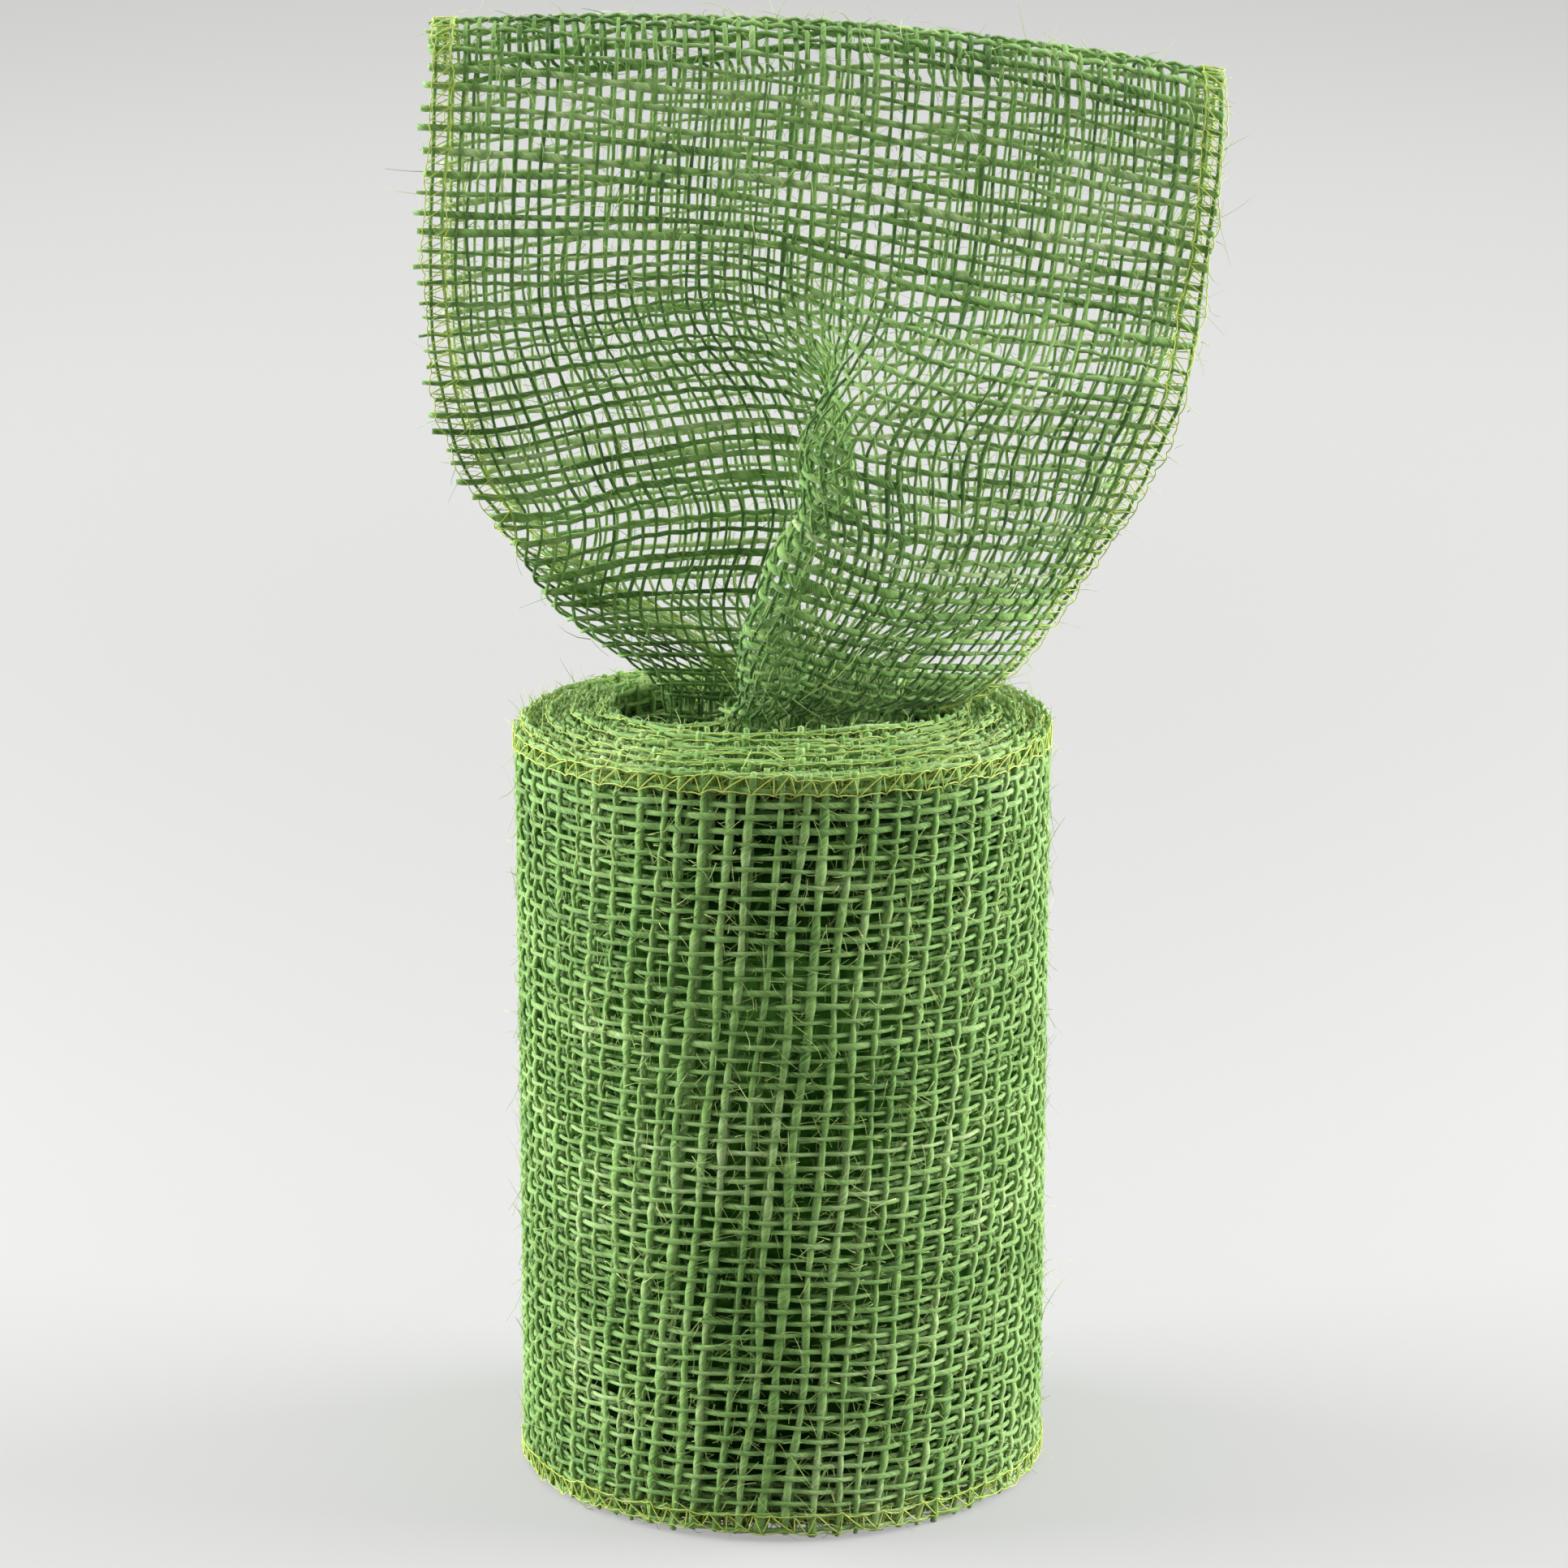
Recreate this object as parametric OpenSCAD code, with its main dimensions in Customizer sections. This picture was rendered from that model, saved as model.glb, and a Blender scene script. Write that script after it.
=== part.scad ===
// Roll of open-weave jute ribbon with overlocked edges, standing on end.
// A wide loop of the same ribbon is tucked into the roll's hollow middle and fans out above it.
// Millimetres. The origin is on the roll's axis, on the surface that it stands on, with +Z up.

/* [Ribbon] */
// width of the ribbon, which is also the height of the roll
ribbon_w = 152; // [120:1:180]
// thickness of the cloth
cloth_t = 1.1; // [0.8:0.1:1.2]
// height of the overlocked seam along each edge
seam_w = 5.5; // [4:0.5:8]

/* [Roll] */
// diameter of the hollow middle
hollow_d = 67.6; // [64:0.2:80]
// whole turns in the winding
turns = 11; // [6:1:14]
// clear gap between one turn and the next
turn_gap = 0.5; // [0.45:0.05:0.8]
// mean radius of the curl at the ribbon's inner end
curl_r = 11.5; // [9:0.5:12]
// angle through which the inner end curls
curl_sweep = 165; // [90:5:180]

/* [Outer end] */
// how much wider than the winding the loose outer end has sprung
outer_end_spring = 3; // [2.5:0.5:8]
// angle that the loose outer end covers
outer_end_sweep = 65; // [40:5:75]
// gap at the line where the outer end is peeled back
peel_gap = 0.3; // [0.3:0.1:0.5]

/* [Loop] */
// height of the loop's crown above the roll
loop_rise = 134; // [110:1:150]
// distance from the roll's axis to the middle of the loop's top
loop_shift = 8.5; // [0:0.5:10]
// radius of the fold over the top
fold_r = 9; // [6:0.5:10]
// drop of the top's right corner below the crown
top_drop = 11; // [4:1:12]
// length of each leaf that is tucked into the hollow
tuck_depth = 50; // [40:1:60]
// room between the tucked leaves and the wall of the hollow
tuck_room = 0.4; // [0.3:0.1:1]

/* [Mesh] */
// openings across each leaf of the loop, which stand for the finer mesh of the cloth
openings_across = 12; // [6:1:12]
// openings up each leaf
openings_up = 8; // [4:1:8]
// share of the pitch from one opening to the next that is open
open_share = 0.64; // [0.4:0.02:0.7]

/* [Pleat] */
// angle through which the front leaf turns back on itself at the pleat
pleat_turn = 160; // [120:5:160]
// share of the loop's height at which the pleat has opened out
pleat_top = 0.73; // [0.6:0.01:0.75]
// how far the front leaf bellies out
front_belly = 4; // [0:0.5:5]
// how far the back leaf bellies out
back_belly = 12; // [8:0.5:14]

/* [Hidden] */
hollow_r = hollow_d / 2;
turn_pitch = cloth_t + turn_gap;

// the ribbon leaves the wall of the hollow on the left, and its outer end lies at the back
inner_end_angle = 200;
outer_end_angle = 175;
wound_angle = 360 * turns + inner_end_angle - outer_end_angle;
wound_r = hollow_r + cloth_t / 2 + turn_pitch * wound_angle / 360;
outer_end_r = wound_r + outer_end_spring;

// steps along one turn, the curl and the loose outer end
turn_steps = 24;
turn_step = 360 / turn_steps;
curl_steps = 8;
outer_end_steps = 5;

// height from which the loop spreads over the rim, and heights of its top
rim_room = 1.5;
rim_z = ribbon_w + rim_room;
crown_z = ribbon_w + loop_rise;
crown_u = -0.5;

// ends of the tucked leaves, across the hollow, and how far each is set in from its wall
foot_r = hollow_r - tuck_room;
left_inset = 11.4;
back_inset = 3.8;
foot_right = foot_r;
foot_left = left_inset - foot_r;
foot_mid_y = -2;
back_foot_half = 21;
back_foot_x = 3.3;
back_foot_y = foot_r - back_inset;
back_foot_bow = 7;

// share of the height at which each side of the loop has its full width, and how it gets there
left_full = 0.6;
right_full = 1.06;
left_rise = 1.5;
left_ease = 3.5;
right_ease = 0.54;
back_full = 0.3;
back_narrow = 0.14;
flat_top = 0.8;

// place and half width of the pleat across the ribbon, whose own half width is 1
pleat_low = 0.32;
pleat_foot_u = -0.1;
pleat_top_u = 0.04;
pleat_lean = 0.5;
pleat_foot_wide = 0.3;
pleat_top_wide = 0.09;
pleat_narrow = 0.34;

// headings, in degrees, at which the foot's two ends bow towards the back
left_bow = -5;
right_bow = 52;

// grid of the loop's cloth, denser near the pleat and the foot
fold_rows = 4;
walk_steps = 24;
seam_u = 1 - 2 * seam_w / ribbon_w;
column_bias = 1.5;
row_bias = 1.2;

cloth_green = [0.47, 0.63, 0.36];
shade_green = [0.39, 0.56, 0.30];
thread_green = [0.66, 0.76, 0.27];

function mix(a, b, t) = a + (b - a) * t;
function clamp(t) = min(1, max(0, t));
function ease(a, b, t) = let (s = clamp((t - a) / (b - a))) s * s * (3 - 2 * s);
function polar(r, angle) = [r * cos(angle), r * sin(angle)];
function unit(p) = p / norm(p);
function sum(list) = [for (item = list) 1] * list;

// route of the winding, seen from above: the curl first, then the turns, clockwise outwards
function curl_at(angle) = polar(hollow_r + cloth_t / 2 - curl_r, inner_end_angle)
    + polar(curl_r, inner_end_angle + angle);
function turn_at(angle) = polar(hollow_r + cloth_t / 2 + turn_pitch * angle / 360, inner_end_angle - angle);
wound_route = concat(
    [for (i = [curl_steps : -1 : 1]) curl_at(curl_sweep * i / curl_steps)],
    [for (angle = [0 : turn_step : wound_angle - turn_step / 2]) turn_at(angle)],
    [turn_at(wound_angle)]);

// route of the loose outer end, which leaves the last turn along its tangent
function outer_end_at(angle) = polar(wound_r - outer_end_r, outer_end_angle)
    + polar(outer_end_r, outer_end_angle - angle);
peel_angle = asin(peel_gap / outer_end_r);
outer_route = [for (i = [0 : outer_end_steps])
    outer_end_at(mix(peel_angle, outer_end_sweep, i / outer_end_steps))];

// outline of a strip of cloth that follows a route
function route_normal(route, i) = let (
    last = len(route) - 1,
    along = unit(route[min(i + 1, last)] - route[max(i - 1, 0)]))
    [-along[1], along[0]];
function strip_outline(route) = let (last = len(route) - 1) concat(
    [for (i = [0 : last]) route[i] + route_normal(route, i) * cloth_t / 2],
    [for (i = [last : -1 : 0]) route[i] - route_normal(route, i) * cloth_t / 2]);

// least gap from a turn to those outside it, measured from points to the stretches between points
function to_stretch(p, a, b) = norm(p - mix(a, b, clamp((p - a) * (b - a) / ((b - a) * (b - a)))));
least_gap = min([for (i = [0 : len(wound_route) - 1])
    for (j = [i + turn_steps / 2 : 1 : len(wound_route) - 2])
        to_stretch(wound_route[i], wound_route[j], wound_route[j + 1])]) - cloth_t;
echo(least_gap_between_turns = least_gap);

// the loop's two sides, from the foot at h = 0 to the start of the fold at h = 1
function left_side(h) = mix(foot_left, loop_shift - ribbon_w / 2,
    1 - pow(1 - pow(clamp(h / left_full), left_rise), left_ease));
function right_side(h) = mix(foot_right, loop_shift + ribbon_w / 2,
    pow(sin(90 * clamp(h / right_full)), right_ease));
function fold_z(u) = crown_z - fold_r - top_drop * pow((u - crown_u) / (1 - crown_u), 2);
function level_z(u, v) = v < 0 ? rim_z + v * tuck_depth : mix(rim_z, fold_z(u), v);
function spread(u, h) = mix(left_side(h), right_side(h), (u + 1) / 2);

// heading of the front leaf, seen from above: it swings back through the pleat, whose left panel
// passes behind the right one, and bows at both ends of the foot
function heading(u, h) = let (
    turn = pleat_turn * (1 - ease(pleat_low, pleat_top, h)),
    at = mix(pleat_foot_u, pleat_top_u, ease(0, pleat_lean, h)),
    wide = mix(pleat_foot_wide, pleat_top_wide, ease(0, pleat_narrow, h)))
    (u > 0 ? right_bow : left_bow) * u * (1 - ease(0, flat_top, h)) - turn * exp(-pow((u - at) / wide, 2));
function walk(u, h) = let (steps = max(1, ceil((u + 1) * walk_steps)), d = (u + 1) / steps)
    d * sum([for (i = [0 : steps - 1]) let (t = heading((i + 0.5) * d - 1, h)) [cos(t), sin(t)]]);
function front_leaf(u, v) = let (
    h = max(0, v),
    low = 1 - ease(0, flat_top, h),
    pace = (right_side(h) - left_side(h)) / walk(1, h)[0],
    at = walk(u, h))
    [left_side(h) + pace * at[0],
    pace * (at[1] - walk(0, h)[1]) + low * foot_mid_y - (1 - low) * fold_r - front_belly * sin(180 * h),
    level_z(u, v)];

// the back leaf, narrower than the front one and bowed towards the wall at its foot
function back_leaf(u, v) = let (h = max(0, v), low = 1 - ease(0, flat_top, h)) [
    mix(back_foot_x + back_foot_half * u,
        mix(spread(u, h), loop_shift, back_narrow * sqrt(1 - h)), ease(0, back_full, h)),
    low * (back_foot_y - back_foot_bow * u * u) + (1 - low) * fold_r + back_belly * sin(180 * h),
    level_z(u, v)];
function top_fold(u, turn) = [loop_shift + u * ribbon_w / 2,
    -fold_r * cos(turn), fold_z(u) + fold_r * sin(turn)];

// the loop's path: 0 to 1 up the front leaf, half of it in the hollow, 1 to 2 over the fold, and
// 2 to 3 down the back leaf
function loop_at(u, t) = t < 1 ? front_leaf(u, 2 * t - 1)
    : t <= 2 ? top_fold(u, 180 * (t - 1)) : back_leaf(u, 5 - 2 * t);

// edges of the strips and openings of a net, from 0 to 1, with a strip at both ends
function net_edges(openings) = let (pitch = 1 / (openings + 1 - open_share))
    [for (k = [0 : openings]) each [k * pitch, (k + 1 - open_share) * pitch]];

// a closed sheet of cloth between two columns and two levels of the loop, with openings in every
// second column of the open rows; its walls are split from the lower corner whichever way round
// they run, so that neighbouring sheets meet face to face
function loop_normal(u, t) = let (
    d = 0.004,
    across = loop_at(u + d, t) - loop_at(u - d, t),
    up = loop_at(u, min(3, t + d)) - loop_at(u, max(0, t - d)))
    unit(cross(across, up));
module loop_sheet(us, ts, open_rows = []) {
    n = len(us);
    m = len(ts);
    openings = [for (i = open_rows) for (j = [1 : 2 : n - 3]) [i, j]];
    faces_of = [for (side = [1, -1]) for (t = ts) for (u = us)
        loop_at(u, t) + loop_normal(u, t) * side * cloth_t / 2];
    function at(side, i, j) = side * n * m + i * n + j;
    function is_open(i, j) = j % 2 == 1 && len(search(i, open_rows)) > 0;
    function walls(ring) = [for (k = [0 : len(ring) - 1]) let (
        a = ring[k],
        b = ring[(k + 1) % len(ring)],
        rising = b[0] + b[1] > a[0] + a[1]) each [
        [at(0, a[0], a[1]), at(0, b[0], b[1]), rising ? at(1, b[0], b[1]) : at(1, a[0], a[1])],
        [rising ? at(0, a[0], a[1]) : at(0, b[0], b[1]), at(1, b[0], b[1]), at(1, a[0], a[1])]]];
    rim = concat([for (j = [0 : n - 1]) [0, j]], [for (i = [1 : m - 1]) [i, n - 1]],
        [for (j = [n - 2 : -1 : 0]) [m - 1, j]], [for (i = [m - 2 : -1 : 1]) [i, 0]]);
    polyhedron(faces_of, concat(
        [for (i = [0 : m - 2]) for (j = [0 : n - 2]) if (!is_open(i, j)) each [
            [at(0, i, j), at(0, i + 1, j), at(0, i + 1, j + 1)],
            [at(0, i, j), at(0, i + 1, j + 1), at(0, i, j + 1)],
            [at(1, i, j), at(1, i + 1, j + 1), at(1, i + 1, j)],
            [at(1, i, j), at(1, i, j + 1), at(1, i + 1, j + 1)]]],
        walls(rim),
        [for (o = openings) each walls([o, o + [1, 0], o + [1, 1], o + [0, 1]])]));
}
cloth_us = [for (e = net_edges(openings_across)) let (s = 2 * e - 1)
    seam_u * sign(s) * pow(abs(s), column_bias)];
front_ts = concat([0], [for (e = net_edges(openings_up)) (1 + pow(e, row_bias)) / 2]);
fold_ts = [for (i = [0 : fold_rows]) 1 + i / fold_rows];
back_ts = [for (i = [len(front_ts) - 1 : -1 : 0]) 3 - front_ts[i]];
loop_ts = concat(front_ts, [for (i = [1 : fold_rows]) fold_ts[i]],
    [for (i = [1 : len(back_ts) - 1]) back_ts[i]]);
front_open_rows = [for (k = [1 : openings_up]) 2 * k];
back_open_rows = [for (k = [1 : openings_up]) 2 * k - 1];

module strip(route, z, height) {
    translate([0, 0, z]) linear_extrude(height) polygon(strip_outline(route));
}

module wound_ribbon() {
    color(cloth_green) strip(wound_route, seam_w, ribbon_w - 2 * seam_w);
}

module upper_edge_seam() {
    color(thread_green) strip(wound_route, ribbon_w - seam_w, seam_w);
}

module lower_edge_seam() {
    color(thread_green) strip(wound_route, 0, seam_w);
}

module outer_end() {
    color(cloth_green) strip(outer_route, seam_w, ribbon_w - 2 * seam_w);
}

module outer_end_upper_seam() {
    color(thread_green) strip(outer_route, ribbon_w - seam_w, seam_w);
}

module outer_end_lower_seam() {
    color(thread_green) strip(outer_route, 0, seam_w);
}

module loop_front_leaf() {
    color(cloth_green) loop_sheet(cloth_us, front_ts, front_open_rows);
}

module loop_top_fold() {
    color(cloth_green) loop_sheet(cloth_us, fold_ts);
}

module loop_back_leaf() {
    color(shade_green) loop_sheet(cloth_us, back_ts, back_open_rows);
}

module loop_left_seam() {
    color(thread_green) loop_sheet([-1, -seam_u], loop_ts);
}

module loop_right_seam() {
    color(thread_green) loop_sheet([seam_u, 1], loop_ts);
}

wound_ribbon();
upper_edge_seam();
lower_edge_seam();
outer_end();
outer_end_upper_seam();
outer_end_lower_seam();
loop_front_leaf();
loop_top_fold();
loop_back_leaf();
loop_left_seam();
loop_right_seam();
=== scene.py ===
"""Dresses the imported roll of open-weave jute ribbon with woven yarns, overlock threads and loose fibres.

Lengths of the ribbon, the roll and the loop are millimetres, as on a cutting sheet. Meshes, the camera and
the studio are in metres. Angles in fields are degrees, unless a class says that they are radians.

A pair whose name ends in _over is the stretch in which something sets in, one that ends in _fades is where
it dies away, and one that ends in _at is the middle of a swelling and how far that reaches.
"""

import logging
import math
from dataclasses import dataclass, field
from enum import Enum
from typing import Any, Iterable, Union

import bpy
import numpy as np
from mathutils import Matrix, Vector


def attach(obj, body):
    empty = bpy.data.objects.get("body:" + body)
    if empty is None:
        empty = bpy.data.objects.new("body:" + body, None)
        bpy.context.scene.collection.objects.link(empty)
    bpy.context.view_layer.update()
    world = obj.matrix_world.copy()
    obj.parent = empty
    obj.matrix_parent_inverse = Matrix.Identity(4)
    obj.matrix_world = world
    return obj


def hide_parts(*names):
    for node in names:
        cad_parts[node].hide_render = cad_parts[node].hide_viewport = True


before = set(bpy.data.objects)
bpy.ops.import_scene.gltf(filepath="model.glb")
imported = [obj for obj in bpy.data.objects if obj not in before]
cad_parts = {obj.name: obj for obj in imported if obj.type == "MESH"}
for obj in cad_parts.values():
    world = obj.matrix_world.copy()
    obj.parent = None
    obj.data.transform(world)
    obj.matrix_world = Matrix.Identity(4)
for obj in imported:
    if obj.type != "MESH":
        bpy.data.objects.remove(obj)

LOG = logging.getLogger("jute_roll")
MM = 0.001
TURN = 2 * math.pi
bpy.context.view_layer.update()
ALONG_MAP = "Strand"
BAKE_MAP = "OFBake"
# The tone attribute holds each strand's own tone and, on the loop, painted light and shade for each leaf.
TONE = "tone"

Pair = tuple[float, float]
Place = tuple[float, float, float]
Colour = tuple[float, float, float]
Array = np.ndarray


class Detail(Enum):
    """How finely yarns are drawn: rings a crossing on warp and weft, then sides of a yarn."""

    FINE = (4, 3, 6)
    MEDIUM = (3, 2, 5)
    COARSE = (2, 2, 4)


class Edge(Enum):
    """An edge of the ribbon: places across it are counted from the low one to the high one."""

    LOW = 0
    HIGH = 1


def smooth(low: float, high: float, value: Array) -> Array:
    """Eases from 0 at low to 1 at high."""
    t = np.clip((value - low) / (high - low), 0.0, 1.0)
    return t * t * (3 - 2 * t)


def mix(a: Any, b: Any, t: Any) -> Any:
    """Blends from a to b as t goes from 0 to 1."""
    return a + (b - a) * t


def hump(value: Array, middle: Any, reach: Any) -> Array:
    """Rises to 1 at middle and falls away within about reach of it on both sides."""
    return np.exp(-(((value - middle) / reach) ** 2))


def unit(vectors: Array) -> Array:
    """Scales vectors along the last axis to length 1."""
    return vectors / np.maximum(np.linalg.norm(vectors, axis=-1, keepdims=True), 1e-9)


class Socket:
    """A shader value that takes part in Python expressions."""

    def __init__(self, graph: "Graph", out: bpy.types.NodeSocket) -> None:
        """Keeps the graph that the value belongs to."""
        self.graph = graph
        self.out = out

    def math(self, operation: str, *others: Any) -> "Socket":
        """Adds one Math node.

        Args:
            operation: the Math node's operation.
            others: its other operands, numbers or sockets.

        Returns:
            The node's value.
        """
        values = dict(enumerate((self, *others)))
        return self.graph.node("ShaderNodeMath", {"operation": operation}, values)

    def __add__(self, other: Any) -> "Socket":
        """Returns self + other."""
        return self.math("ADD", other)

    __radd__ = __add__

    def __mul__(self, other: Any) -> "Socket":
        """Returns self * other."""
        return self.math("MULTIPLY", other)

    __rmul__ = __mul__

    def __sub__(self, other: Any) -> "Socket":
        """Returns self - other."""
        return self.math("SUBTRACT", other)

    def __rsub__(self, other: Any) -> "Socket":
        """Returns other - self."""
        return (self * -1.0) + other

    def between(self, low: float, high: float) -> "Socket":
        """Returns 0 below low and 1 above high, eased between them."""
        settings = {"interpolation_type": "SMOOTHSTEP"}
        inputs = {"Value": self, "From Min": low, "From Max": high}
        return self.graph.node("ShaderNodeMapRange", settings, inputs)


class Graph:
    """The node tree of one material."""

    def __init__(self, name: str) -> None:
        """Starts a material with only its output and Principled nodes.

        Args:
            name: the material's name.
        """
        self.material = bpy.data.materials.new(name)
        self.material.use_nodes = True
        self.tree = self.material.node_tree
        self.shader = self.tree.nodes["Principled BSDF"]

    def node(
        self, kind: str, settings: dict[str, Any], inputs: dict[Union[int, str], Any],
        output: Union[int, str] = 0,
    ) -> Socket:
        """Adds a node.

        Args:
            kind: the node's type.
            settings: its own properties, which are set first.
            inputs: values or sockets by input name or number.
            output: which output to return.

        Returns:
            The chosen output.
        """
        made = self.tree.nodes.new(kind)
        for key, value in settings.items():
            setattr(made, key, value)
        for key, value in inputs.items():
            self.feed(made.inputs[key], value)
        return Socket(self, made.outputs[output])

    def feed(self, socket: bpy.types.NodeSocket, value: Any) -> None:
        """Links a Socket to an input, or sets the input to a plain value.

        Args:
            socket: the input.
            value: what it gets.
        """
        if isinstance(value, Socket):
            self.tree.links.new(value.out, socket)
        else:
            socket.default_value = value

    def blend(self, a: Any, b: Any, factor: Any) -> Socket:
        """Mixes two colours.

        Args:
            a: colour at factor 0.
            b: colour at factor 1.
            factor: number or socket.

        Returns:
            The mixed colour.
        """
        settings = {"data_type": "RGBA"}
        inputs = {0: factor, 6: self.colour(a), 7: self.colour(b)}
        return self.node("ShaderNodeMix", settings, inputs, 2)

    @staticmethod
    def colour(value: Any) -> Any:
        """Adds alpha to a plain colour and leaves a socket alone."""
        return value if isinstance(value, Socket) else (*value, 1.0)

    def set(self, **inputs: Any) -> None:
        """Feeds the Principled node, with underscores for the spaces in input names."""
        for key, value in inputs.items():
            self.feed(self.shader.inputs[key.replace("_", " ")], value)


@dataclass(frozen=True)
class StrandFinish:
    """A dyed, twisted strand: streaks wind round it and each strand has its own tone.

    Streaks, dye and tone each give a share of a place's lightness; on the loop, tone also holds painted light
    and shade.
    middle, and then from middle to pale.
    """

    name: str
    slot: str
    deep: Colour
    middle: Colour
    pale: Colour
    twist: float
    streak: float
    roughness: float = 0.9
    sheen: float = 0.15
    fleck: float = 0.0
    fleck_colour: Colour = (0.05, 0.035, 0.015)
    fleck_scale: float = 420.0
    fleck_edge: float = 0.03
    relief: float = 0.6
    relief_depth: float = 0.0004
    specular: float = 0.25
    streak_drift: float = 0.16
    strands_apart: float = 31.0
    dye_scale: float = 55.0
    streak_share: float = 0.75
    dye_share: float = 0.45
    tone_and_shade_share: float = 0.16
    darker: float = 0.12
    middle_over: Pair = (0.26, 0.50)
    pale_over: Pair = (0.48, 0.76)

    def material(self) -> bpy.types.Material:
        """Builds the finish's material.

        Returns:
            The material.
        """
        g = Graph(self.name)
        where = g.node("ShaderNodeUVMap", {"uv_map": ALONG_MAP}, {})
        along = g.node("ShaderNodeSeparateXYZ", {}, {0: where}, "X")
        around = g.node("ShaderNodeSeparateXYZ", {}, {0: where}, "Y")
        tone = g.node("ShaderNodeAttribute", {"attribute_name": TONE}, {}, "Fac")
        angle = (around + along * self.twist) * TURN
        lay = {
            "X": angle.math("COSINE"),
            "Y": angle.math("SINE"),
            "Z": along * self.streak_drift + tone * self.strands_apart,
        }
        fibre = g.node("ShaderNodeCombineXYZ", {}, lay)
        grain_inputs = {"Vector": fibre, "Scale": self.streak, "Detail": 3.0, "Roughness": 0.6}
        grain = g.node("ShaderNodeTexNoise", {}, grain_inputs)
        place = g.node("ShaderNodeTexCoord", {}, {}, "Object")
        dye = g.node("ShaderNodeTexNoise", {}, {"Vector": place, "Scale": self.dye_scale, "Detail": 2.0})
        light = grain * self.streak_share + dye * self.dye_share + tone * self.tone_and_shade_share
        light = light - self.darker
        colour = g.blend(self.deep, self.middle, light.between(*self.middle_over))
        colour = g.blend(colour, self.pale, light.between(*self.pale_over))
        if self.fleck:
            speck_inputs = {"Vector": place, "Scale": self.fleck_scale, "Detail": 1.0}
            speck = g.node("ShaderNodeTexNoise", {}, speck_inputs)
            shown = speck.between(self.fleck, self.fleck + self.fleck_edge)
            colour = g.blend(colour, self.fleck_colour, shown)
        bump_inputs = {"Strength": self.relief, "Distance": self.relief_depth, "Height": grain}
        g.set(Base_Color=colour, Roughness=self.roughness, Sheen_Weight=self.sheen, Sheen_Roughness=0.5)
        g.set(Specular_IOR_Level=self.specular, Normal=g.node("ShaderNodeBump", {}, bump_inputs))
        return g.material


@dataclass(frozen=True)
class ShadeFinish:
    """The deep shade between the inner turns, with the weave only hinted at."""

    name: str
    slot: str
    deep: Colour
    middle: Colour
    roughness: float = 0.95
    spot_scale: float = 300.0
    spots_over: Pair = (0.35, 0.65)

    def material(self) -> bpy.types.Material:
        """Builds the finish's material.

        Returns:
            The material.
        """
        g = Graph(self.name)
        place = g.node("ShaderNodeTexCoord", {}, {}, "Object")
        spots = g.node("ShaderNodeTexNoise", {}, {"Vector": place, "Scale": self.spot_scale, "Detail": 2.0})
        colour = g.blend(self.deep, self.middle, spots.between(*self.spots_over))
        g.set(Base_Color=colour, Roughness=self.roughness, Specular_IOR_Level=0.0)
        return g.material


@dataclass
class Strands:
    """Strands of one kind: their centre lines, the side that faces out, and their girth.

    Each array runs over strands and rings. Tone is one number a strand.
    """

    centre: Array
    normal: Array
    half_wide: Array
    half_thick: Array
    tone: Array
    sides: int

    def __post_init__(self) -> None:
        """Widens the girths to one for each ring."""
        shape = self.centre.shape[:2]
        self.half_wide = np.broadcast_to(self.half_wide, shape)
        self.half_thick = np.broadcast_to(self.half_thick, shape)

    def rings(self) -> Array:
        """Places the points of every ring.

        Returns:
            Points, over strands, rings, sides and xyz.
        """
        tangent = unit(np.gradient(self.centre, axis=1))
        wide = unit(np.cross(tangent, self.normal))
        thick = np.cross(wide, tangent)
        turn = np.arange(self.sides) * TURN / self.sides
        across = self.half_wide[..., None, None] * np.cos(turn)[:, None] * wide[:, :, None]
        up = self.half_thick[..., None, None] * np.sin(turn)[:, None] * thick[:, :, None]
        return self.centre[:, :, None] + across + up

    def lengths(self) -> Array:
        """Measures how far along its strand each ring lies."""
        steps = np.linalg.norm(np.diff(self.centre, axis=1), axis=2)
        return np.concatenate([np.zeros((len(steps), 1)), np.cumsum(steps, axis=1)], axis=1)


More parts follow.
